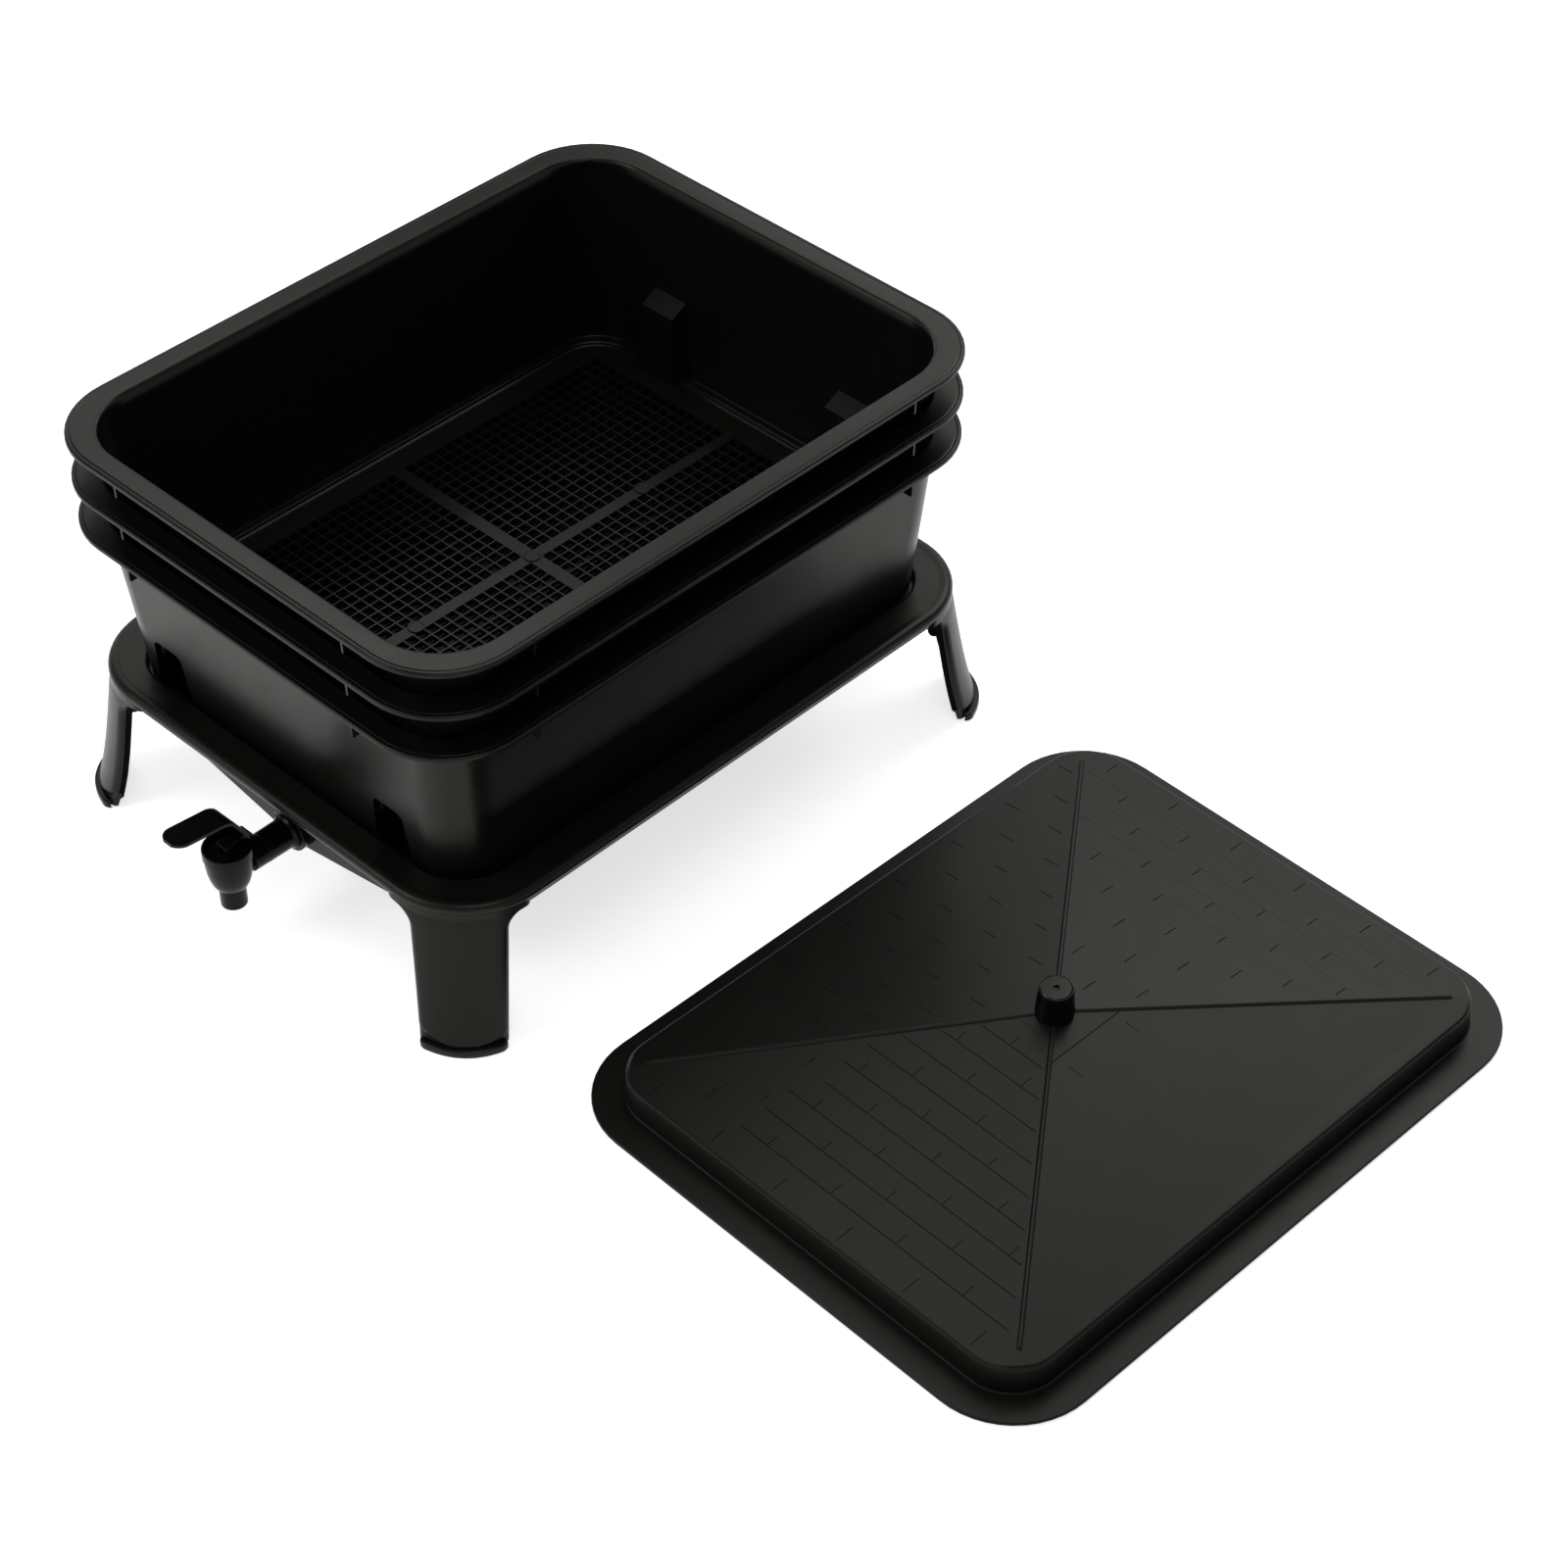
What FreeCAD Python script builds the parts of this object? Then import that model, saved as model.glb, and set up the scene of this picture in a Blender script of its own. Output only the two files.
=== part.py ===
"""A stacking worm composter: a legged stand, a collector with a tap, three mesh-floored trays and a lid.

Millimetres, +Z up. The origin is on the floor, under the middle of the space that the stack and the lid
beside it take up. The tap looks along -X. Each sub-part is made about the stack's own centre, or the lid's
own centre, and then put in its place.
"""

import FreeCAD, Part
import math
import os

Vector = FreeCAD.Vector

# Places on the floor
stack_x = 29.9
stack_y = 267.7
lid_x = 47.0
lid_y = -267.6
lid_turn = -1.6

# Walls, gaps and grips shared by the mouldings
wall = 2.5
seat_gap = 0.3
grip_flats = 24

# Trays: half lengths along X and Y, corner radii, depth
rim_x = 290.0
rim_y = 227.0
rim_corner = 69.0
rim_thickness = 2.4
lip_height = 4.4
mouth_x = 269.0
mouth_y = 206.0
mouth_corner = 56.0
wall_top_x = 265.5
wall_top_y = 202.5
floor_x = 245.5
floor_y = 183.0
wall_corner = 42.0
tray_depth = 166.0
floor_thickness = 3.0
stack_pitch = 38.7
tray_drop = 8.2

# Mesh floor: one opening here stands for seven by five of the moulding's own squares
fine_pitch = 10.26
mesh_bar = 2.6
fine_columns = 21
fine_rows = 15
squares_along_x = 7
squares_along_y = 5
long_rib_half = 6.0
cross_rib_half = 6.6

# Stacking pockets in the short walls, set apart differently at the two ends
tap_end_pocket_y = 128.0
far_end_pocket_y = 104.0
pocket_height = 67.0
pocket_face = 235.5
pocket_half = 21.0
pocket_taper = 0.085
web_spacing = 8.0
web_thickness = 2.4

# Gussets under the rims
gusset_y = 126.5
gusset_x = 195.0
gusset_thickness = 2.0
gusset_depth = 15.0
gusset_inset = 10.0

# Stand: ring frame
ring_x = 286.4
ring_y = 229.8
ring_corner = 73.4
ring_top = 132.0
ring_height = 14.0
ring_round = 5.0
skirt_height = 7.0
skirt_inset = 3.5
opening_x = 258.0
opening_y = 197.0
opening_corner = 45.0
shelf_width = 4.0

# Stand: legs
leg_slope_x = 0.195
leg_slope_y = 0.115
foot_out_x = 20.0
foot_out_y = 11.7
leg_half_low = 31.0
leg_half_high = 34.0
leg_blend = 16.0
leg_shell = 3.0
flange_depth_high = 20.0
flange_depth_low = 11.0
foot_thickness = 3.0

# Collector
collector_fit = 0.4
keel_height = 52.0
keel_fall = 22.0
bilge_y = 120.0
bilge_rise = 21.0
side_rise = 35.0
rest_rib_length = 13.0
rest_rib_drop = 20.0
rest_rib_thickness = 3.0
rest_rib_x = 150.0
rest_rib_y = 100.0

# Tap: the outlet through the collector's end wall
tap_height = 72.0
shank_radius = 13.1
shank_clearance = 0.3
shank_end = 242.0
bore_radius = 8.0
gasket_thickness = 2.0
tap_flange_radius = 18.0
inner_gasket_radius = 16.4
tap_flange_thickness = 4.0
barrel_radius = 12.5
nut_flats = 31.0
nut_thickness = 6.0

# Tap: the upright body
tap_x = 320.5
spout_bottom = 37.0
spout_top = 55.0
spout_radius = 10.5
spout_bore = 8.0
body_radius = 18.6
neck_radius = 15.3
neck_top = 87.5
body_wall = 1.5
seat_height = 64.0

# Tap: bonnet, stem and seat cup
bonnet_radius = 19.5
bonnet_bottom = 85.0
bonnet_top = 95.0
bonnet_recess_radius = 17.3
bonnet_web = 1.5
thread_gap = 0.2
cup_flange = 1.2
cup_gap = 1.1
cup_skin = 1.4
cup_sole = 5.0
stem_radius = 2.9
stem_gap = 0.08

# Tap: lever
bar_half_width = 6.4
bar_height = 5.6
bar_near = 4.5
bar_far = 15.4
heel_far = 20.5
heel_near = 9.0
heel_thickness = 2.8
pin_radius = 1.25
pin_rise = 2.3
pin_gap = 0.05
slot_reach = 4.6
slot_gap = 0.3
lever_thickness = 2.8
lever_half_width = 12.0
lever_reach = 51.0
lever_tip_height = 134.0
lever_bend_x = 6.5
lever_bend_height = 129.0
lever_neck_x = 5.5
lever_neck_height = 119.5
lever_shoulder_x = 14.0

# Lid
lid_half_x = 290.5
lid_half_y = 232.4
lid_corner = 70.0
locator_depth = 1.0
lid_flange = 3.0
step_x = 263.3
step_y = 205.2
step_corner = 40.0
step_height = 24.0
roof_rise = 22.0
bead_half_width = 2.6
bead_height = 2.0
bead_inset = 25.0
knob_seat_radius = 18.0
knob_seat_height = 0.5
knob_pad_depth = 1.0

# Knob and its fixing
knob_base_radius = 15.0
knob_top_radius = 12.0
knob_height = 25.0
knob_chamfer = 1.6
knob_dimple_radius = 2.2
knob_dimple_depth = 1.5
screw_radius = 2.0
screw_length = 18.0
screw_head_radius = 4.5
screw_head_height = 3.0
washer_radius = 8.0
washer_thickness = 1.2

# Sizes that follow from those above
ring_bottom = ring_top - ring_height
tray_underside = ring_bottom - tray_drop
lowest_rim = tray_underside + floor_thickness + tray_depth
rim_heights = {
    "tray_bottom": lowest_rim,
    "tray_middle": lowest_rim + stack_pitch,
    "tray_top": lowest_rim + 2 * stack_pitch,
}
shelf_top = ring_bottom + wall
collector_rim = shelf_top + wall
end_wall = opening_x - shelf_width - collector_fit
end_wall_back = end_wall - wall
gasket_face = end_wall + gasket_thickness
barrel_end = gasket_face + tap_flange_thickness
seat_share = (seat_height - spout_top) / (bonnet_bottom - seat_gap - spout_top)
chamber_radius = spout_radius + (body_radius - spout_radius) * seat_share - body_wall
cup_radius = chamber_radius - cup_gap
web_bottom = neck_top + cup_flange
recess_floor = web_bottom + bonnet_web
bar_bottom = recess_floor + seat_gap + 0.1
pin_height = bar_bottom + pin_rise
stem_bottom = seat_height + cup_sole
flange_top = locator_depth + lid_flange
roof_edge = flange_top + step_height
roof_apex = roof_edge + roof_rise
knob_seat = roof_apex + knob_seat_height
washer_seat = roof_apex - wall - knob_pad_depth


def rounded_wire(half_x, half_y, corner, z):
    """A rectangle with round corners, centred on the Z axis at height z."""
    edges = []
    centres = around()
    points = []
    for number, (sign_x, sign_y) in enumerate(centres):
        centre = Vector(sign_x * (half_x - corner), sign_y * (half_y - corner), z)
        trio = []
        for step in range(3):
            angle = math.radians(90 * number + 45 * step)
            trio.append(centre + Vector(math.cos(angle), math.sin(angle), 0) * corner)
        points.append(trio)
    for number, trio in enumerate(points):
        edges.append(Part.Arc(*trio).toShape())
        edges.append(Part.LineSegment(trio[2], points[(number + 1) % 4][0]).toShape())
    return Part.Wire(edges)


def slab(size, low, high):
    """An upright block with round corners. size is (half_x, half_y, corner)."""
    face = Part.Face(rounded_wire(*size, low))
    return face.extrude(Vector(0, 0, high - low))


def flare(low_size, low, high_size, high):
    """A block with round corners whose section grows evenly, about the same corner centres."""
    wires = [rounded_wire(*low_size, low), rounded_wire(*high_size, high)]
    return Part.makeLoft(wires, True, True)


def closed(faces):
    """The solid inside a set of faces."""
    solid = Part.makeSolid(Part.makeShell(faces))
    if solid.Volume < 0:
        solid.reverse()
    return solid


def tapered_box(low_x, low_y, low, high_x, high_y, high):
    """A box with leaning sides. Each span is a pair of X or Y limits, at the height that follows it."""
    block = Part.makeWedge(
        low_x[0], low, -low_y[1], -high_y[1], high_x[0], low_x[1], high, -low_y[0], -high_y[0], high_x[1]
    )
    block.rotate(Vector(0, 0, 0), Vector(1, 0, 0), 90)
    return block


def frustum(low_half, low, high_half, high, corner):
    """Four leaning walls over a flat floor, with the same round corner all the way up."""
    spans = [(-half, half) for half in low_half] + [(-half, half) for half in high_half]
    block = tapered_box(spans[0], spans[1], low, spans[2], spans[3], high)
    upright = [edge for edge in block.Edges if edge.BoundBox.ZLength > (high - low) / 2]
    return block.makeFillet(corner, upright)


def grown(size, offset):
    """The same rounded rectangle, moved outwards by offset."""
    return tuple(value + offset for value in size)


def prism(points, direction):
    """A flat polygon pushed along a direction."""
    return Part.Face(Part.makePolygon(points + points[:1])).extrude(direction)


def flats_wire(radius, z):
    """A grip's outline: a polygon with one corner for each of its flats."""
    points = []
    for number in range(grip_flats + 1):
        angle = 2 * math.pi * number / grip_flats
        points.append(Vector(radius * math.cos(angle), radius * math.sin(angle), z))
    return Part.makePolygon(points)


def grip(low_radius, low, high_radius, high):
    """A turned block with flats for the fingers, straight or tapered."""
    bottom = flats_wire(low_radius, low)
    if low_radius == high_radius:
        return Part.Face(bottom).extrude(Vector(0, 0, high - low))
    top = flats_wire(high_radius, high)
    faces = [Part.Face(bottom), Part.Face(top)]
    for number in range(grip_flats):
        following = (number + 1) % grip_flats
        corners = [bottom.Vertexes[number].Point, bottom.Vertexes[following].Point]
        corners += [top.Vertexes[following].Point, top.Vertexes[number].Point]
        faces.append(Part.Face(Part.makePolygon(corners + corners[:1])))
    return closed(faces)


def disc_along_x(radius, low_x, high_x):
    """A many-sided disc about the tap's axis, for the seals and bores, which stay hidden."""
    disc = Part.Face(flats_wire(radius, 0)).extrude(Vector(0, 0, high_x - low_x))
    disc.rotate(Vector(0, 0, 0), Vector(0, 1, 0), 90)
    disc.translate(Vector(low_x, 0, tap_height))
    return disc


def upright_cylinder(radius, low, high):
    return Part.makeCylinder(radius, high - low, Vector(0, 0, low))


def plate_along_y(points_xz, centre_y, thickness):
    """A plate of the given X-Z outline, square to Y."""
    points = [Vector(x, centre_y - thickness / 2, z) for x, z in points_xz]
    return prism(points, Vector(0, thickness, 0))


def plate_along_x(points_yz, centre_x, thickness):
    """A plate of the given Y-Z outline, square to X."""
    points = [Vector(centre_x - thickness / 2, y, z) for y, z in points_yz]
    return prism(points, Vector(thickness, 0, 0))


def cylinder_along_x(radius, low_x, high_x, z):
    return Part.makeCylinder(radius, high_x - low_x, Vector(low_x, 0, z), Vector(1, 0, 0))


def around():
    """The sign pairs of the four corners, in order round the Z axis."""
    return ((1, 1), (-1, 1), (-1, -1), (1, -1))


# Trays


def tray_wall(floor_z, low, high, offset):
    """The block inside the tray's leaning walls, moved outwards by offset, between two heights."""
    halves = []
    for z in (low, high):
        share = (z - floor_z) / tray_depth
        half_x = floor_x + (wall_top_x - floor_x) * share + offset
        half_y = floor_y + (wall_top_y - floor_y) * share + offset
        halves.append((half_x, half_y))
    return frustum(halves[0], low, halves[1], high, wall_corner + offset)


def pocket_places():
    """The end, as a sign of X, and the middle along Y of each pocket."""
    ends = ((-1, tap_end_pocket_y), (1, far_end_pocket_y))
    return [(end, side * spacing) for end, spacing in ends for side in (-1, 1)]


def pocket(end, centre_y, floor_z, low, high, offset):
    """The tapered space of a pocket between two heights over the floor, or with an offset, its walls too."""
    spans = []
    for height in (low, high):
        near = pocket_face + wall - offset + pocket_taper * height
        half = pocket_half + offset - pocket_taper * height
        ends = (near, rim_x) if end > 0 else (-rim_x, -near)
        spans += [ends, (centre_y - half, centre_y + half), floor_z + height]
    return tapered_box(*spans)


def mesh_openings(low, high):
    """The openings of the floor, in four fields between its two ribs and its border."""
    pitch_x = squares_along_x * fine_pitch
    pitch_y = squares_along_y * fine_pitch
    openings = []
    for sign_x, sign_y in around():
        for column in range(int(fine_columns // squares_along_x)):
            for row in range(int(fine_rows // squares_along_y)):
                near_x = cross_rib_half + column * pitch_x
                near_y = long_rib_half + row * pitch_y
                low_x = min(sign_x * near_x, sign_x * (near_x + pitch_x - mesh_bar))
                low_y = min(sign_y * near_y, sign_y * (near_y + pitch_y - mesh_bar))
                corner = Vector(low_x, low_y, low)
                openings.append(Part.makeBox(pitch_x - mesh_bar, pitch_y - mesh_bar, high - low, corner))
    return Part.makeCompound(openings)


def gussets(rim_z):
    """Small ribs that stiffen the rim, two along each side."""
    plates = []
    under = rim_z - rim_thickness
    foot = rim_z - gusset_depth
    for sign_x, sign_y in around():
        outline_x = [
            (sign_x * wall_top_x, under),
            (sign_x * (rim_x - gusset_inset), under),
            (sign_x * wall_top_x, foot),
        ]
        plates.append(plate_along_y(outline_x, sign_y * gusset_y, gusset_thickness))
        outline_y = [
            (sign_y * wall_top_y, under),
            (sign_y * (rim_y - gusset_inset), under),
            (sign_y * wall_top_y, foot),
        ]
        plates.append(plate_along_x(outline_y, sign_x * gusset_x, gusset_thickness))
    return plates


def make_tray(rim_z):
    floor_z = rim_z - tray_depth
    underside = floor_z - floor_thickness
    under_rim = rim_z - rim_thickness
    above = 1.0
    rim_size = (rim_x, rim_y, rim_corner)
    mouth_size = (mouth_x, mouth_y, mouth_corner)
    outside = tray_wall(floor_z, underside, under_rim, wall)
    inside = tray_wall(floor_z, floor_z, under_rim, 0)

    rim = slab(rim_size, rim_z - lip_height, rim_z)
    mouth = slab(mouth_size, under_rim, rim_z)
    body = outside.fuse([rim] + gussets(rim_z))

    pads = []
    recesses = []
    webs = []
    web_foot = pocket_height - stack_pitch + seat_gap
    for end, centre_y in pocket_places():
        pads.append(pocket(end, centre_y, floor_z, 0, pocket_height, wall).common(outside))
        recesses.append(
            pocket(end, centre_y, floor_z, -floor_thickness - above, pocket_height - wall, 0)
        )
        for side in (-1, 1):
            block = pocket(end, centre_y, floor_z, web_foot, pocket_height - wall, 0)
            slice_y = centre_y + side * web_spacing
            blade = Part.makeBox(
                2 * rim_x, web_thickness, rim_z, Vector(-rim_x, slice_y - web_thickness / 2, 0)
            )
            webs.append(block.common([blade]).common(outside))
    body = body.cut([inside, mouth]).fuse(pads).cut(recesses).cut([mesh_openings(underside - above, rim_z)])
    return body.fuse(webs).removeSplitter()


# Stand


def leg_outline(half_high, half_low, blend, bottom, top):
    """The face of a leg, from across its width and its height, with a round blend into the ring."""
    mid = math.sqrt(0.5)
    neck = ring_bottom - blend
    edges = []
    flare = half_high + blend
    for sign in (-1, 1):
        start = Vector(sign * half_high, 0, neck)
        end = Vector(sign * flare, 0, ring_bottom)
        middle = Vector(sign * (flare - blend * mid), 0, neck + blend * mid)
        edges.append(Part.Arc(start, middle, end).toShape())
        edges.append(Part.LineSegment(Vector(sign * half_low, 0, bottom), start).toShape())
        edges.append(Part.LineSegment(end, Vector(sign * flare, 0, top)).toShape())
    edges.append(Part.LineSegment(Vector(-half_low, 0, bottom), Vector(half_low, 0, bottom)).toShape())
    edges.append(Part.LineSegment(Vector(-flare, 0, top), Vector(flare, 0, top)).toShape())
    return Part.Face(Part.Wire(Part.__sortEdges__(edges)))


def corner_drum(radius, slope_x, slope_y, height, sign_x, sign_y, out_x=0.0, out_y=0.0):
    """A long round drum about a corner of the ring, at a height, that leans outwards as it goes down."""
    centre = Vector(sign_x * (ring_x - ring_corner + out_x), sign_y * (ring_y - ring_corner + out_y), height)
    lean = Vector(-sign_x * slope_x, -sign_y * slope_y, 1)
    start = centre - lean * (height + ring_top)
    return Part.makeCylinder(radius, 4 * ring_top, start, lean)


def onto_corner(solid, sign_x, sign_y):
    """Turn and move what is drawn outwards along +Y onto the diagonal of a corner."""
    turn = math.degrees(math.atan2(sign_y, sign_x)) - 90
    solid.rotate(Vector(0, 0, 0), Vector(0, 0, 1), turn)
    middle_x = ring_x - ring_corner + foot_out_x / 2
    middle_y = ring_y - ring_corner + foot_out_y / 2
    solid.translate(Vector(sign_x * middle_x, sign_y * middle_y, 0))
    return solid


def leg_prism(outline, sign_x, sign_y):
    """A leg's face pushed outwards along the corner's diagonal."""
    return onto_corner(outline.extrude(Vector(0, 2 * ring_corner, 0)), sign_x, sign_y)


def leg_skin(sign_x, sign_y, inset):
    """The block inside the leg's leaning face and its upright foot."""
    radius = ring_corner - inset
    signs = (sign_x, sign_y)
    face = corner_drum(radius, leg_slope_x, leg_slope_y, ring_bottom, *signs)
    foot = corner_drum(radius, 0, 0, 0, *signs, foot_out_x, foot_out_y)
    return face.common(foot)


def leg_back(sign_x, sign_y):
    """The space behind the flanges, whose free edges lean out with the face and narrow to the foot."""
    lean = (leg_slope_x + leg_slope_y) * math.sqrt(0.5)
    narrowing = (flange_depth_high - flange_depth_low) / ring_bottom
    edge = math.sqrt(ring_corner**2 - leg_half_low**2)
    edge -= (foot_out_x + foot_out_y) / 2 * math.sqrt(0.5) + flange_depth_high
    reach = leg_half_high + 2 * leg_blend
    points = []
    for z in (-1, ring_top):
        points.append(Vector(-reach, edge + (ring_bottom - z) * (lean + narrowing), z))
    points += [Vector(-reach, -ring_corner, ring_top), Vector(-reach, -ring_corner, -1)]
    return onto_corner(prism(points, Vector(2 * reach, 0, 0)), sign_x, sign_y)


def make_leg(sign_x, sign_y):
    """A thin curved channel: a face that follows the ring's corner, two side flanges and a foot."""
    top = ring_top - ring_round
    outside = leg_prism(leg_outline(leg_half_high, leg_half_low, leg_blend, 0, top), sign_x, sign_y)
    half_high = leg_half_high - leg_shell
    half_low = leg_half_low - leg_shell
    hollow_outline = [
        Vector(-half_low, 0, foot_thickness),
        Vector(half_low, 0, foot_thickness),
        Vector(half_high, 0, ring_top),
        Vector(-half_high, 0, ring_top),
    ]
    hollow = onto_corner(prism(hollow_outline, Vector(0, 2 * ring_corner, 0)), sign_x, sign_y)
    solid = outside.common(leg_skin(sign_x, sign_y, 0))
    return solid.cut([hollow.common(leg_skin(sign_x, sign_y, leg_shell)), leg_back(sign_x, sign_y)])


def make_stand():
    ring_size = (ring_x, ring_y, ring_corner)
    opening = (opening_x, opening_y, opening_corner)
    skirt_top = ring_bottom + skirt_height
    blank = slab(ring_size, skirt_top, ring_top - ring_round)
    crown = flare(ring_size, ring_top - ring_round, grown(ring_size, -ring_round), ring_top)
    skirt = flare(grown(ring_size, -skirt_inset), ring_bottom, ring_size, skirt_top)
    inside_skirt = grown(ring_size, -skirt_inset - leg_shell)
    under = slab(inside_skirt, ring_bottom - 1, ring_top - leg_shell)
    under = under.cut(slab(grown(opening, leg_shell), ring_bottom - 1, ring_top))
    shelf_opening = grown(opening, -shelf_width)
    well = slab(opening, shelf_top, ring_top + 1).fuse(slab(shelf_opening, ring_bottom - 1, shelf_top))
    legs = [make_leg(sign_x, sign_y) for sign_x, sign_y in around()]
    keep_out = slab(grown(opening, leg_shell), 0, ring_top)
    legs = [leg.cut(keep_out) for leg in legs]
    ring = blank.fuse([skirt, crown]).cut([under, well])
    return ring.fuse(legs).removeSplitter()


# Collector


def hull(half_y, lift):
    """The collector's trough: a blunt keel that falls along X towards the tap."""
    wires = []
    reach = opening_x
    for end, rise in ((-1, 0.0), (1, keel_fall)):
        keel = keel_height + rise + lift
        outline = [
            (0, keel),
            (bilge_y, keel + bilge_rise),
            (half_y, keel + side_rise),
            (half_y, collector_rim + 1),
            (-half_y, collector_rim + 1),
            (-half_y, keel + side_rise),
            (-bilge_y, keel + bilge_rise),
        ]
        points = [Vector(end * reach, y, z) for y, z in outline]
        wires.append(Part.makePolygon(points + points[:1]))
    return Part.makeLoft(wires, True, True)


def make_collector():
    rim = (opening_x - collector_fit, opening_y - collector_fit, opening_corner - collector_fit)
    half_x = end_wall
    half_y = opening_y - shelf_width - collector_fit
    outer_size = (half_x, half_y, opening_corner - shelf_width - collector_fit)
    outside = slab(outer_size, keel_height, collector_rim).common(hull(opening_y, 0))
    inside = slab(grown(outer_size, -wall), keel_height, collector_rim).common(hull(opening_y, wall))
    flange = slab(rim, shelf_top, collector_rim)

    ribs = []
    rib_top = tray_underside - seat_gap
    for sign_x, sign_y in around():
        inner_x = half_x - wall / 2
        outline = [
            (sign_x * inner_x, rib_top),
            (sign_x * (inner_x - rest_rib_length), rib_top),
            (sign_x * inner_x, rib_top - rest_rib_drop),
        ]
        ribs.append(plate_along_y(outline, sign_y * rest_rib_y, rest_rib_thickness))
        inner_y = half_y - wall / 2
        outline = [
            (sign_y * inner_y, rib_top),
            (sign_y * (inner_y - rest_rib_length), rib_top),
            (sign_y * inner_y, rib_top - rest_rib_drop),
        ]
        ribs.append(plate_along_x(outline, sign_x * rest_rib_x, rest_rib_thickness))
    ribs = [rib.common(outside) for rib in ribs]
    body = outside.fuse(flange).cut(inside).fuse(ribs)
    hole = cylinder_along_x(shank_radius + shank_clearance, -opening_x, -end_wall_back + 1, tap_height)
    return body.cut(hole).removeSplitter()


# Tap


def make_gasket(radius, low_x):
    """One of the two rubber seals, on each side of the collector's end wall."""
    hole = disc_along_x(shank_radius + 2 * shank_clearance, low_x - 1, low_x + gasket_thickness + 1)
    return disc_along_x(radius, low_x, low_x + gasket_thickness).cut(hole)


def make_tap_body():
    shoulder = bonnet_bottom - seat_gap
    spout = upright_cylinder(spout_radius, spout_bottom, spout_top)
    funnel = grip(spout_radius, spout_top, body_radius, shoulder)
    neck = grip(neck_radius, shoulder, neck_radius, neck_top)
    upright = spout.fuse([funnel, neck])
    upright.translate(Vector(-tap_x, 0, 0))
    barrel = cylinder_along_x(barrel_radius, -tap_x, -barrel_end, tap_height)
    flange = disc_along_x(tap_flange_radius, -barrel_end, -gasket_face)
    shank = disc_along_x(shank_radius, -gasket_face, -shank_end)
    solid = upright.fuse([barrel, flange, shank])

    chamber = grip(chamber_radius, seat_height, chamber_radius, 2 * neck_top)
    outlet = grip(spout_bore, spout_bottom - 1, spout_bore, seat_height + 1)
    hollows = [chamber, outlet]
    for hollow in hollows:
        hollow.translate(Vector(-tap_x, 0, 0))
    passage = disc_along_x(bore_radius, -tap_x, -shank_end + 1)
    return solid.cut(hollows + [passage]).removeSplitter()


def make_bonnet():
    cap = grip(bonnet_radius, bonnet_bottom, bonnet_radius, bonnet_top)
    thread = grip(neck_radius + thread_gap, bonnet_bottom - 1, neck_radius + thread_gap, web_bottom)
    recess = grip(bonnet_recess_radius, recess_floor, bonnet_recess_radius, bonnet_top + 1)
    guide = upright_cylinder(stem_radius + stem_gap, bonnet_bottom, bonnet_top)
    bonnet = cap.cut([thread, recess, guide])
    bonnet.translate(Vector(-tap_x, 0, 0))
    return bonnet


def make_seat_cup():
    """Silicone: a flange held under the bonnet, a thin sleeve and the sole that shuts the seat."""
    sleeve = grip(cup_radius, seat_height, cup_radius, web_bottom)
    flange = grip(neck_radius, neck_top, neck_radius, web_bottom)
    bore = grip(cup_radius - cup_skin, stem_bottom - stem_gap, cup_radius - cup_skin, bonnet_top)
    cup = sleeve.fuse(flange).cut(bore)
    cup.translate(Vector(-tap_x, 0, 0))
    return cup


def make_stem():
    rod = upright_cylinder(stem_radius, stem_bottom, pin_height + stem_radius)
    rod.translate(Vector(-tap_x, 0, 0))
    return rod.cut(cross_hole(pin_radius + pin_gap))


def cross_hole(radius):
    """A bore along Y at the lever's pin."""
    start = Vector(-tap_x, -2 * bar_half_width, pin_height)
    return Part.makeCylinder(radius, 4 * bar_half_width, start, Vector(0, 1, 0))


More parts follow.
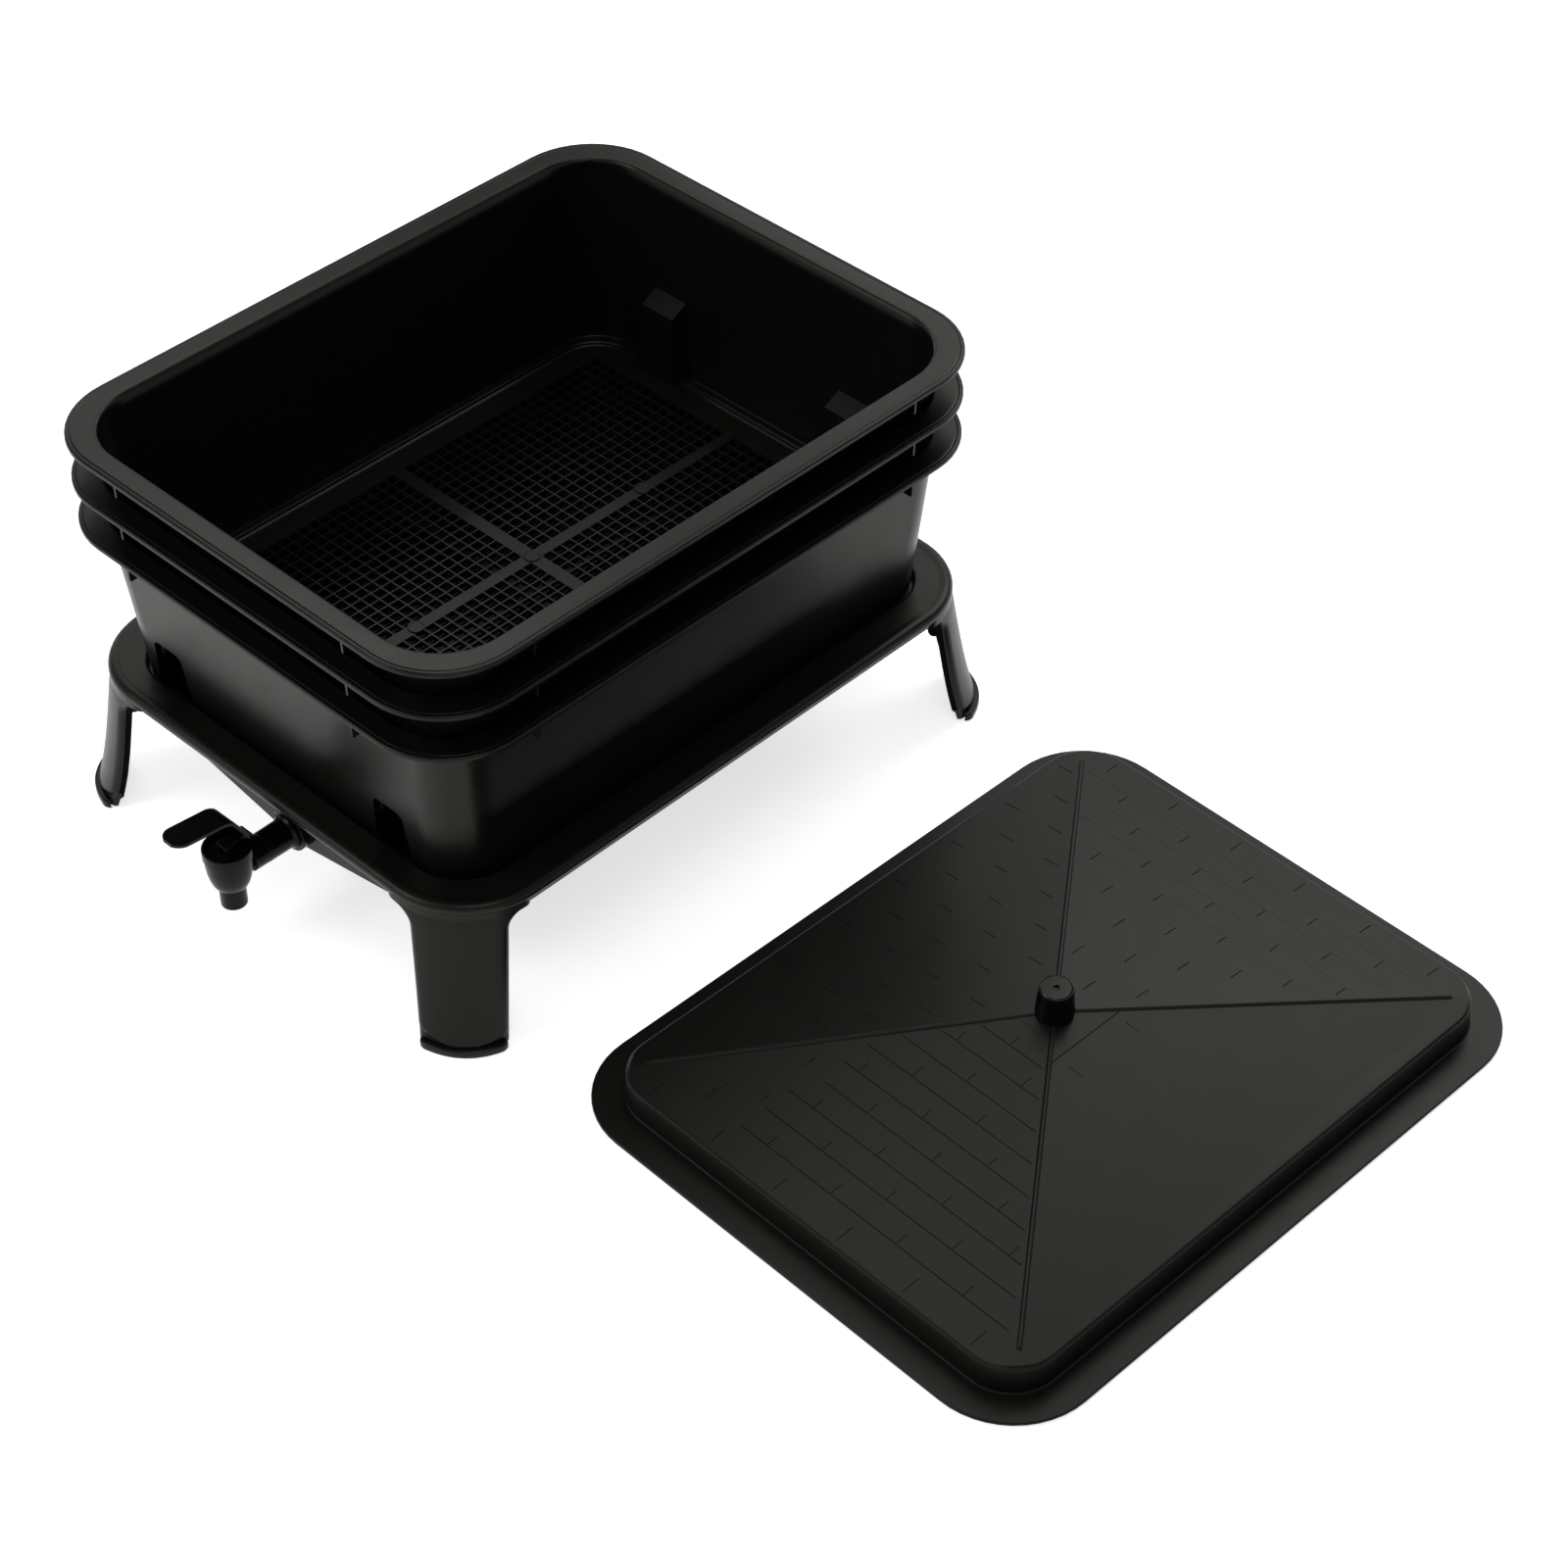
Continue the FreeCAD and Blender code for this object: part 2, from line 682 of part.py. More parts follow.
def lever_blade():
    """The lever's bent blade: its side outline crossed with its plan outline."""
    root_x = -tap_x + heel_far
    root = Vector(root_x, 0, bonnet_top + 2 * seat_gap)
    neck = Vector(-tap_x + lever_neck_x, 0, lever_neck_height)
    bend = Vector(-tap_x - lever_bend_x, 0, lever_bend_height)
    tip = Vector(-tap_x - lever_reach, 0, lever_tip_height)
    rise = (neck - root).normalize()
    reach = (tip - bend).normalize()
    inward = Vector(rise.z, 0, -rise.x) * -lever_thickness
    under = Vector(reach.z, 0, -reach.x) * -lever_thickness
    foot = root + inward - rise * (inward.z / rise.z)
    crown = neck + (bend - neck) * 0.5 + Vector(rise.z, 0, -rise.x) * 1.8
    crown_under = crown + (inward + under) * 0.5
    outline = [
        Part.LineSegment(root, neck),
        Part.Arc(neck, crown, bend),
        Part.LineSegment(bend, tip),
        Part.LineSegment(tip, tip + under),
        Part.LineSegment(tip + under, bend + under),
        Part.Arc(bend + under, crown_under, neck + inward),
        Part.LineSegment(neck + inward, foot),
        Part.LineSegment(foot, root),
    ]
    side = Part.Face(Part.Wire([curve.toShape() for curve in outline]))
    side.translate(Vector(0, -lever_half_width, 0))
    blade = side.extrude(Vector(0, 2 * lever_half_width, 0))

    tip_x = -tap_x - lever_reach - 1
    straight_x = tip_x + lever_half_width
    shoulder_x = -tap_x + lever_shoulder_x
    diagonal = lever_half_width * math.sqrt(0.5)
    lower_round = Part.Arc(
        Vector(straight_x, lever_half_width, 0),
        Vector(straight_x - diagonal, diagonal, 0),
        Vector(tip_x, 0, 0),
    )
    upper_round = Part.Arc(
        Vector(tip_x, 0, 0),
        Vector(straight_x - diagonal, -diagonal, 0),
        Vector(straight_x, -lever_half_width, 0),
    )
    plan_outline = [
        Part.LineSegment(Vector(root_x, bar_half_width, 0), Vector(shoulder_x, lever_half_width, 0)),
        Part.LineSegment(Vector(shoulder_x, lever_half_width, 0), Vector(straight_x, lever_half_width, 0)),
        lower_round,
        upper_round,
        Part.LineSegment(Vector(straight_x, -lever_half_width, 0), Vector(shoulder_x, -lever_half_width, 0)),
        Part.LineSegment(Vector(shoulder_x, -lever_half_width, 0), Vector(root_x, -bar_half_width, 0)),
        Part.LineSegment(Vector(root_x, -bar_half_width, 0), Vector(root_x, bar_half_width, 0)),
    ]
    plan = Part.Face(Part.Wire([curve.toShape() for curve in plan_outline]))
    return blade.common(plan.extrude(Vector(0, 0, 2 * lever_tip_height)))


def make_lever():
    """A forked bar in the bonnet's recess, a heel over the bonnet's rim, and the blade."""
    bar = Part.makeBox(
        bar_near + bar_far, 2 * bar_half_width, bar_height, Vector(-tap_x - bar_near, -bar_half_width, bar_bottom)
    )
    heel = Part.makeBox(
        heel_far - heel_near,
        2 * bar_half_width,
        heel_thickness,
        Vector(-tap_x + heel_near, -bar_half_width, bonnet_top + 2 * seat_gap),
    )
    fork = Part.makeBox(
        bar_near + slot_reach + 1,
        2 * (stem_radius + slot_gap),
        2 * bar_height,
        Vector(-tap_x - bar_near - 1, -stem_radius - slot_gap, bar_bottom - 1),
    )
    return bar.fuse([heel, lever_blade()]).removeSplitter().cut([fork, cross_hole(pin_radius)])


def make_lever_pin():
    length = 2 * bar_half_width - 1
    return Part.makeCylinder(pin_radius, length, Vector(-tap_x, -length / 2, pin_height), Vector(0, 1, 0))


def make_lock_nut():
    low = -end_wall_back + gasket_thickness
    radius = nut_flats / 2 / math.cos(math.radians(30))
    points = []
    for number in range(6):
        angle = math.radians(60 * number)
        points.append(Vector(low, radius * math.cos(angle), tap_height + radius * math.sin(angle)))
    nut = prism(points, Vector(nut_thickness, 0, 0))
    bore = disc_along_x(shank_radius + thread_gap, low - 1, low + nut_thickness + 1)
    return nut.cut(bore)


# Lid


def roof(lower_by):
    """A block under four slopes that meet at the apex, lowered by a skin."""
    spread = 1.1
    half_x = step_x * spread
    half_y = step_y * spread
    eave = roof_apex - roof_rise * spread - lower_by
    apex = Vector(0, 0, roof_apex - lower_by)
    low = [Vector(x * half_x, y * half_y, -2) for x, y in around()]
    high = [Vector(point.x, point.y, eave) for point in low]
    faces = [Part.Face(Part.makePolygon(low + low[:1]))]
    for number in range(4):
        following = (number + 1) % 4
        side = [low[number], low[following], high[following], high[number]]
        faces.append(Part.Face(Part.makePolygon(side + side[:1])))
        slope = [high[number], high[following], apex]
        faces.append(Part.Face(Part.makePolygon(slope + slope[:1])))
    return closed(faces)


def bead(sign_x, sign_y):
    """A low rib with sloping sides along one hip of the roof, from near the corner to the knob."""
    far = Vector(sign_x * (step_x - bead_inset), sign_y * (step_y - bead_inset * step_y / step_x), 0)
    far.z = roof_apex - roof_rise * abs(far.x) / step_x
    run = Vector(0, 0, roof_apex) - far
    run *= 1 - (knob_base_radius + 2 * seat_gap) / math.hypot(far.x, far.y)
    across = Vector(-run.y, run.x, 0).normalize()
    outline = [
        far + across * bead_half_width - Vector(0, 0, 1),
        far + across * (bead_half_width - 1) + Vector(0, 0, bead_height),
        far - across * (bead_half_width - 1) + Vector(0, 0, bead_height),
        far - across * bead_half_width - Vector(0, 0, 1),
    ]
    return prism(outline, run)


def make_lid():
    step = (step_x, step_y, step_corner)
    block = slab(step, 0, roof_apex + 1).common(roof(0))
    flange = slab((lid_half_x, lid_half_y, lid_corner), locator_depth, flange_top)
    hollow = slab(grown(step, -wall), -1, roof_apex).common(roof(wall))
    beads = [bead(sign_x, sign_y) for sign_x, sign_y in around()]
    seat = grip(knob_seat_radius, washer_seat, knob_seat_radius, knob_seat)
    hole = grip(screw_radius + seat_gap, 0, screw_radius + seat_gap, 2 * roof_apex)
    body = block.fuse([flange] + beads).cut(hollow).fuse(seat)
    return body.cut(hole).removeSplitter()


def make_knob():
    top = knob_seat + knob_height
    shank = grip(knob_base_radius, knob_seat, knob_top_radius, top - knob_chamfer)
    crown = grip(knob_top_radius, top - knob_chamfer, knob_top_radius - knob_chamfer, top)
    thread = grip(screw_radius, knob_seat - 1, screw_radius, knob_seat + screw_length - 1)
    dimple = grip(knob_dimple_radius, top - knob_dimple_depth, knob_dimple_radius, top + 1)
    return shank.fuse(crown).cut([thread, dimple]).removeSplitter()


def make_knob_screw():
    head_top = washer_seat - washer_thickness
    head = grip(screw_head_radius, head_top - screw_head_height, screw_head_radius, head_top)
    return head.fuse(grip(screw_radius, head_top, screw_radius, head_top + screw_length))


def make_knob_washer():
    disc = grip(washer_radius, washer_seat - washer_thickness, washer_radius, washer_seat)
    return disc.cut(grip(screw_radius + seat_gap, 0, screw_radius + seat_gap, roof_apex))


def main():
    os.makedirs("parts", exist_ok=True)
    stack = {
        "stand": make_stand(),
        "collector_tray": make_collector(),
        "tap_body": make_tap_body(),
        "tap_bonnet": make_bonnet(),
        "tap_seat_cup": make_seat_cup(),
        "tap_stem": make_stem(),
        "tap_lever": make_lever(),
        "lever_pin": make_lever_pin(),
        "outer_gasket": make_gasket(tap_flange_radius, -gasket_face),
        "inner_gasket": make_gasket(inner_gasket_radius, -end_wall_back),
        "lock_nut": make_lock_nut(),
    }
    for name, rim_z in rim_heights.items():
        stack[name] = make_tray(rim_z)
    for name, shape in stack.items():
        shape.translate(Vector(stack_x, stack_y, 0))
        shape.exportStep("parts/" + name + ".step")

    cover = {
        "lid": make_lid(),
        "lid_knob": make_knob(),
        "knob_screw": make_knob_screw(),
        "knob_washer": make_knob_washer(),
    }
    for name, shape in cover.items():
        shape.rotate(Vector(0, 0, 0), Vector(0, 0, 1), lid_turn)
        shape.translate(Vector(lid_x, lid_y, 0))
        shape.exportStep("parts/" + name + ".step")


main()
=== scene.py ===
"""The looks of the worm composter: moulded black plastic on a pale floor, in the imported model's own frame.

Forms are drawn in millimetres about the middle of the piece that they belong to. The studio is in metres.
"""

import math

import bmesh
import bpy
from mathutils import Matrix, Vector


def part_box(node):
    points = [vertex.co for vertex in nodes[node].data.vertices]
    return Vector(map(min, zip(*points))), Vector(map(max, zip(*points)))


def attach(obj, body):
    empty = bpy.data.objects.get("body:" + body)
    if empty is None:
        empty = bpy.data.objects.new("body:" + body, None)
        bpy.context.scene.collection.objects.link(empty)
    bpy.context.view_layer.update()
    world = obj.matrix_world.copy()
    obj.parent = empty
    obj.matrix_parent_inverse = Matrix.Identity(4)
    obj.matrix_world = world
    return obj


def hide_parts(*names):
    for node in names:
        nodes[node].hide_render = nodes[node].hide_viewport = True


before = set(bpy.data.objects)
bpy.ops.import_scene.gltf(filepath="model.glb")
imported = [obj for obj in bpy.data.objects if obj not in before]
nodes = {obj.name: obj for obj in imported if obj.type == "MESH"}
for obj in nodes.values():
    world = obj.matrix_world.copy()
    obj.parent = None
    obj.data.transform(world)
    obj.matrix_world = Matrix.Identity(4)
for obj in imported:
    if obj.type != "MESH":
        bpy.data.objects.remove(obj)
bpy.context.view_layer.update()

MM = 0.001
ORIGIN = Vector((0, 0, 0))
QUARTERS = ((1, 1), (-1, 1), (-1, -1), (1, -1))
ARC = 12  # steps round a corner
SIDES = 48  # sides of a turned form
SHARP = 34.0  # edges that bend more than this, in degrees, stay sharp


def centre_of(node):
    low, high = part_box(node)
    return (low + high) / 2


STACK = Vector((centre_of("stand").x, centre_of("stand").y, 0.0))
COVER = Vector((centre_of("lid_knob").x, centre_of("lid_knob").y, 0.0))
COVER_TURN = math.radians(-1.6)
TAP_X = (centre_of("tap_bonnet").x - STACK.x) / MM


# ---------------------------------------------------------------- materials

CLOUD = (11.0, 3.0)  # scale and detail of the clouds in the colour
GLOSS = (46.0, 4.0)  # scale and detail of the uneven gloss
GRAIN_DETAIL = 2.0
GRAIN_HEIGHT = 0.0002
WARM_SHINE = (1.0, 0.98, 0.89, 1)


def noise(tree, place, scale, detail):
    node = tree.nodes.new("ShaderNodeTexNoise")
    node.inputs["Scale"].default_value = scale
    node.inputs["Detail"].default_value = detail
    tree.links.new(place.outputs["Object"], node.inputs["Vector"])
    return node.outputs["Fac"]


def shader(name, colour, tone, roughness, grain=2600.0, dent=0.015, sheen=0.17, wander=0.02):
    """Moulded plastic: a fine spark-eroded grain, faint flow clouds in its colour and uneven gloss.

    tone is how far the colour varies, wander how far the roughness does, and dent the grain's strength.
    """
    material = bpy.data.materials.new(name)
    material.use_nodes = True
    tree = material.node_tree
    tree.nodes.clear()
    out = tree.nodes.new("ShaderNodeOutputMaterial")
    body = tree.nodes.new("ShaderNodeBsdfPrincipled")
    tree.links.new(body.outputs["BSDF"], out.inputs["Surface"])
    place = tree.nodes.new("ShaderNodeTexCoord")

    tint = tree.nodes.new("ShaderNodeValToRGB")
    dark, light = tint.color_ramp.elements
    dark.position, light.position = 0.3, 0.72
    dark.color = (*[c * (1 - tone) for c in colour], 1)
    light.color = (*[c * (1 + tone) for c in colour], 1)
    tree.links.new(noise(tree, place, *CLOUD), tint.inputs["Fac"])
    tree.links.new(tint.outputs["Color"], body.inputs["Base Color"])

    spread = tree.nodes.new("ShaderNodeMapRange")
    spread.inputs["From Min"].default_value = 0.3
    spread.inputs["From Max"].default_value = 0.7
    spread.inputs["To Min"].default_value = roughness - wander
    spread.inputs["To Max"].default_value = roughness + wander
    tree.links.new(noise(tree, place, *GLOSS), spread.inputs["Value"])
    tree.links.new(spread.outputs["Result"], body.inputs["Roughness"])

    bump = tree.nodes.new("ShaderNodeBump")
    bump.inputs["Strength"].default_value = dent
    bump.inputs["Distance"].default_value = GRAIN_HEIGHT
    tree.links.new(noise(tree, place, grain, GRAIN_DETAIL), bump.inputs["Height"])
    tree.links.new(bump.outputs["Normal"], body.inputs["Normal"])

    body.inputs["IOR"].default_value = 1.5
    body.inputs["Specular IOR Level"].default_value = sheen
    body.inputs["Specular Tint"].default_value = WARM_SHINE
    return material


def metal(name):
    """Zinc-plated steel with fine turning marks and dull patches."""
    zinc = (0.58, 0.57, 0.54)
    material = shader(name, zinc, tone=0.12, roughness=0.34, grain=900.0, dent=0.2, wander=0.1)
    material.node_tree.nodes["Principled BSDF"].inputs["Metallic"].default_value = 1.0
    return material


stand_plastic = shader("stand_plastic", (0.0042, 0.0041, 0.0037), tone=0.05, roughness=0.34)
tray_plastic = shader("tray_plastic", (0.0034, 0.0033, 0.0030), tone=0.05, roughness=0.30)
lid_plastic = shader("lid_plastic", (0.0038, 0.0037, 0.0034), tone=0.04, roughness=0.38, wander=0.012)
knob_plastic = shader("knob_plastic", (0.0020, 0.0020, 0.0019), tone=0.1, roughness=0.17, sheen=0.27)
tap_plastic = shader(
    "tap_plastic", (0.0026, 0.0026, 0.0025), tone=0.1, roughness=0.24, dent=0.01, sheen=0.12
)
lever_plastic = shader(
    "lever_plastic", (0.0022, 0.0022, 0.0021), tone=0.1, roughness=0.28, dent=0.01, sheen=0.14
)
seal_rubber = shader(
    "seal_rubber", (0.0050, 0.0050, 0.0048), tone=0.2, roughness=0.62, grain=1400.0, dent=0.12
)
# the leg ribs' colour, darker than the stand's, is painted shade for the inside of the legs; their higher
# roughness is real
rib_plastic_painted_shade = shader("rib_plastic_painted_shade", (0.0016, 0.0016, 0.0015), tone=0.1, roughness=0.6, sheen=0.03)
fixing_steel = metal("fixing_steel")


# ------------------------------------------------------------------- meshes


def ring(half_x, half_y, corner, z, arc=ARC):
    """Points round a rectangle with round corners."""
    points = []
    for number, (sign_x, sign_y) in enumerate(QUARTERS):
        for step in range(arc + 1):
            angle = math.radians(90 * number + 90 * step / arc)
            x = sign_x * (half_x - corner) + corner * math.cos(angle)
            y = sign_y * (half_y - corner) + corner * math.sin(angle)
            points.append(Vector((x, y, z)))
    return points


def circle(radius, z, sides):
    points = []
    for step in range(sides):
        angle = 2 * math.pi * step / sides
        points.append(Vector((radius * math.cos(angle), radius * math.sin(angle), z)))
    return points


def bridge(bm, low, high):
    """A band of faces between two rows of vertices that go round."""
    count = len(low)
    for step in range(count):
        following = (step + 1) % count
        bm.faces.new((low[step], low[following], high[following], high[step]))


def loft(bm, rings, closed=False, caps=False):
    """Skin a row of point rings. closed joins the last to the first, caps fills both ends."""
    rows = [[bm.verts.new(point) for point in points] for points in rings]
    for low, high in zip(rows, rows[1:]):
        bridge(bm, low, high)
    if closed:
        bridge(bm, rows[-1], rows[0])
    if caps:
        bm.faces.new(list(reversed(rows[0])))
        bm.faces.new(rows[-1])
    return rows


def plate(bm, points, across, thickness):
    """A flat outline given thickness along a direction, centred on the outline."""
    shift = Vector(across).normalized() * thickness / 2
    loft(bm, [[p - shift for p in points], [p + shift for p in points]], caps=True)


def turned(bm, profile, sides=SIDES, closed=False):
    """A solid of revolution about Z from (radius, height) pairs. A radius of 0 closes an end."""
    rows = []
    for radius, z in profile:
        if radius == 0:
            rows.append([bm.verts.new((0, 0, z))])
        else:
            rows.append([bm.verts.new(point) for point in circle(radius, z, sides)])
    pairs = list(zip(rows, rows[1:]))
    if closed:
        pairs.append((rows[-1], rows[0]))
    for low, high in pairs:
        for step in range(sides):
            following = (step + 1) % sides
            if len(low) == 1:
                bm.faces.new((low[0], high[following], high[step]))
            elif len(high) == 1:
                bm.faces.new((low[step], low[following], high[0]))
            else:
                bm.faces.new((low[step], low[following], high[following], high[step]))


def join(bm, other):
    """Add the second mesh to the first, and let go of it."""
    mesh = bpy.data.meshes.new("part")
    other.to_mesh(mesh)
    other.free()
    bm.from_mesh(mesh)
    bpy.data.meshes.remove(mesh)


def to_object(name, bm, place):
    """A mesh drawn in millimetres becomes an object in metres. place is a matrix or a centre."""
    bmesh.ops.recalc_face_normals(bm, faces=bm.faces)
    matrix = place if isinstance(place, Matrix) else Matrix.Translation(place)
    bm.transform(matrix @ Matrix.Scale(MM, 4))
    mesh = bpy.data.meshes.new(name)
    bm.to_mesh(mesh)
    bm.free()
    item = bpy.data.objects.new(name, mesh)
    bpy.context.scene.collection.objects.link(item)
    return item


def add_loose(item, bm):
    """Add closed pieces, drawn in millimetres, to an object's mesh."""
    bmesh.ops.recalc_face_normals(bm, faces=bm.faces)
    bm.transform(Matrix.Scale(MM, 4))
    whole = bmesh.new()
    whole.from_mesh(item.data)
    join(whole, bm)
    whole.to_mesh(item.data)
    whole.free()


def combine(item, cutter, operation):
    """A boolean whose result is kept in the mesh."""
    step = item.modifiers.new("combine", "BOOLEAN")
    step.operation = operation
    step.solver = "EXACT"
    step.object = cutter
    bpy.context.view_layer.update()
    graph = bpy.context.evaluated_depsgraph_get()
    mesh = bpy.data.meshes.new_from_object(item.evaluated_get(graph))
    item.modifiers.clear()
    old = item.data
    item.data = mesh
    bpy.data.meshes.remove(old)
    mesh.name = item.name
    bpy.data.objects.remove(cutter)


def shade(mesh, limit):
    """Weld the mesh, turn its faces outwards and smooth it up to a limit in degrees."""
    bm = bmesh.new()
    bm.from_mesh(mesh)
    bmesh.ops.remove_doubles(bm, verts=bm.verts, dist=0.002 * MM)
    bmesh.ops.recalc_face_normals(bm, faces=bm.faces)
    for face in bm.faces:
        face.smooth = True
    for edge in bm.edges:
        if len(edge.link_faces) == 2:
            edge.smooth = edge.calc_face_angle(0.0) < math.radians(limit)
    bm.to_mesh(mesh)
    bm.free()


def dress(item, body, slot, material, *replaced, limit=SHARP):
    """Shade a piece, and say which body it rides and which solids it replaces. slot is not used."""
    shade(item.data, limit)
    item.data.materials.clear()
    item.data.materials.append(material)
    even = item.modifiers.new("even", "WEIGHTED_NORMAL")
    even.keep_sharp = True
    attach(item, body)
    if replaced:
        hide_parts(*replaced)


# -------------------------------------------------------------------- trays

DEPTH = 166.0
FLOOR = 3.0

# the floor's mesh: pitch and bars of its squares, and half the two plain ribs
PITCH = 10.26
BAR = 2.6
SLOPE = 0.65
RIB_X = 6.6
RIB_Y = 6.0
COLUMNS = 21
ROWS = 15
FIELD_X = RIB_X + COLUMNS * PITCH
FIELD_Y = RIB_Y + ROWS * PITCH
GATE_XS = (-121.0, 0.0, 121.0)
GATE_MARK = [(0, -1.0), (7.0, -1.0), (7.0, 0.7), (6.6, 1.0), (5.4, 1.0), (5.0, 0.6), (0, 0.6)]

# half sizes, corner radius and height under the rim, from the floor's edge up the outside and back
TRAY_PROFILE = [
    (FIELD_X, FIELD_Y, 1.0, -169.0),
    (250.0, 187.5, 39.0, -169.0),
    (251.8, 189.3, 40.0, -168.6),
    (253.2, 190.7, 40.6, -167.4),
    (254.1, 191.6, 40.8, -165.4),
    (254.6, 192.1, 40.8, -162.0),
    (256.6, 194.1, 40.5, -138.0),
    (267.2, 204.7, 40.5, -6.0),
    (267.9, 205.2, 42.5, -4.0),
    (270.4, 207.4, 47.0, -2.9),
    (286.6, 223.6, 66.0, -2.6),
    (287.5, 224.5, 66.6, -3.0),
    (287.8, 224.8, 66.8, -4.0),
    (288.4, 225.4, 67.4, -4.4),
    (289.4, 226.4, 68.4, -4.4),
    (290.0, 227.0, 69.0, -3.8),
    (290.0, 227.0, 69.0, -1.5),
    (289.7, 226.7, 68.7, -0.7),
    (289.0, 226.0, 68.0, -0.2),
    (287.9, 224.9, 66.9, 0.0),
    (286.7, 223.7, 65.7, -0.1),
    (286.2, 223.2, 65.2, -0.5),
    (285.6, 222.6, 64.6, -0.1),
    (284.8, 221.8, 63.8, 0.0),
    (271.6, 208.6, 57.6, 0.0),
    (270.2, 207.2, 56.8, -0.35),
    (269.1, 206.1, 56.0, -1.4),
    (268.0, 205.0, 53.5, -3.4),
    (266.6, 203.6, 49.0, -6.4),
    (265.2, 202.2, 43.0, -10.5),
    (254.3, 191.8, 39.5, -138.0),
    (252.2, 189.7, 39.6, -163.5),
    (251.8, 189.3, 39.4, -163.9),
    (246.6, 184.1, 41.6, -163.9),
    (246.2, 183.7, 41.4, -163.5),
    (245.6, 183.1, 40.4, -162.9),
    (245.0, 182.5, 39.0, -162.7),
    (244.4, 181.9, 38.2, -162.9),
    (243.9, 181.4, 37.7, -163.6),
    (243.4, 180.9, 37.2, -165.0),
    (242.0, 179.5, 35.9, -165.8),
    (240.0, 177.5, 34.0, -166.0),
    (FIELD_X, FIELD_Y, 1.0, -166.0),
]

# height over the floor, and where the middle of an end wall's thickness is there
WALL_LINE = [(-3.0, 250.5), (0.0, 252.4), (3.0, 253.4), (28.0, 255.5), (160.0, 266.1)]

# the pockets in the end walls: which end, and their middle along Y
POCKETS = [(-1, -122.0), (-1, 134.0), (1, -104.0), (1, 104.0)]
TAPER = 0.085
PAD_FACE = 235.5
PAD_HALF = 23.5
PAD_HEIGHTS = (-1.5, 0.0, 3.0, 28.0, 70.0)
PAD_SLANT = 9.0
RECESS_FACE = 238.0
RECESS_REACH = 300.0
RECESS_FOOT = -6.0
RECESS_TOP = 60.5
RECESS_HALF = 21.0
RECESS_FOOT_HALF = 21.5
RECESS_CORNER = 6.0
RIB_FACE = 237.0
RIB_BACK = 250.5
RIB_HALF = 1.2
RIB_HEIGHTS = (46.0, 60.0)
RIB_SHIFT = 12.0

# the gussets under the rim: their outlines, outwards and up, and where they stand along the walls
END_GUSSET = [(268.6, -2.8), (287.4, -2.8), (286.8, -17.4), (286.0, -18.4), (265.3, -18.4)]
SIDE_GUSSET = [(206.0, -2.8), (224.4, -2.8), (223.8, -17.4), (223.0, -18.4), (202.8, -18.4)]
END_GUSSET_Y = 126.5
SIDE_GUSSET_X = 195.0
GUSSET_THICKNESS = 2.0


def wall_middle(height):
    """Where the middle of an end wall is, at a height over the floor."""
    for (low, x0), (high, x1) in zip(WALL_LINE, WALL_LINE[1:]):
        if height <= high:
            return x0 + (x1 - x0) * (height - low) / (high - low)
    return WALL_LINE[-1][1]


def tray_spot(height, x, y):
    return Vector((x, y, height - DEPTH))


def pocket_block(bm, end, middle, near, half, outer, heights, slant=0.0):
    """A tapered block on an end wall.

    near, half and outer give its inner face, half width and outer face at a height over the floor,
    and slant is how far its top falls towards the inside.
    """
    rows = []
    for height in heights:
        xs = (end * near(height), end * outer(height))
        ys = (middle - half(height), middle + half(height))
        rows.append([
            tray_spot(height, xs[0], ys[0]),
            tray_spot(height, xs[1], ys[0]),
            tray_spot(height, xs[1], ys[1]),
            tray_spot(height, xs[0], ys[1]),
        ])
    for corner in (0, 3):
        rows[-1][corner].z -= slant
    loft(bm, rows, caps=True)


def recess_block(bm, end, middle):
    """The hollow behind a pocket, with round upper corners, cut right out through the end wall."""
    outline = [(middle - RECESS_FOOT_HALF, RECESS_FOOT), (middle + RECESS_FOOT_HALF, RECESS_FOOT)]
    straight = RECESS_TOP - RECESS_CORNER
    half = RECESS_HALF - TAPER * straight
    for side, turns in ((1, range(0, 5)), (-1, range(4, -1, -1))):
        for step in turns:
            angle = math.pi / 2 * step / 4
            outline.append((
                middle + side * (half - RECESS_CORNER + RECESS_CORNER * math.cos(angle)),
                straight + RECESS_CORNER * math.sin(angle),
            ))
    near = [tray_spot(h, end * (RECESS_FACE + TAPER * h), y) for y, h in outline]
    far = [tray_spot(h, end * RECESS_REACH, y) for y, h in outline]
    loft(bm, [near, far], caps=True)


def make_shell():
    """A tray's walls, rim and floor edge, with its pockets and gussets."""
    bm = bmesh.new()
    loft(bm, [ring(*section) for section in TRAY_PROFILE], closed=True)
    shell = to_object("tray_shell", bm, ORIGIN)

    pads = bmesh.new()
    recesses = bmesh.new()
    small = bmesh.new()
    for end, middle in POCKETS:
        pocket_block(
            pads, end, middle,
            lambda h: PAD_FACE + TAPER * h,
            lambda h: PAD_HALF - TAPER * h,
            wall_middle,
            PAD_HEIGHTS, slant=PAD_SLANT,
        )
        recess_block(recesses, end, middle)
        pocket_block(
            small, end, middle + RIB_SHIFT,
            lambda h: RIB_FACE + TAPER * h,
            lambda h: RIB_HALF,
            lambda h: RIB_BACK + TAPER * h,
            RIB_HEIGHTS,
        )
    combine(shell, to_object("pads", pads, ORIGIN), "UNION")
    combine(shell, to_object("recesses", recesses, ORIGIN), "DIFFERENCE")

    for sign_x, sign_y in QUARTERS:
        outline = [Vector((sign_x * x, sign_y * END_GUSSET_Y, z)) for x, z in END_GUSSET]
        plate(small, outline, (0, 1, 0), GUSSET_THICKNESS)
        outline = [Vector((sign_x * SIDE_GUSSET_X, sign_y * y, z)) for y, z in SIDE_GUSSET]
        plate(small, outline, (1, 0, 0), GUSSET_THICKNESS)
    add_loose(shell, small)
    return shell


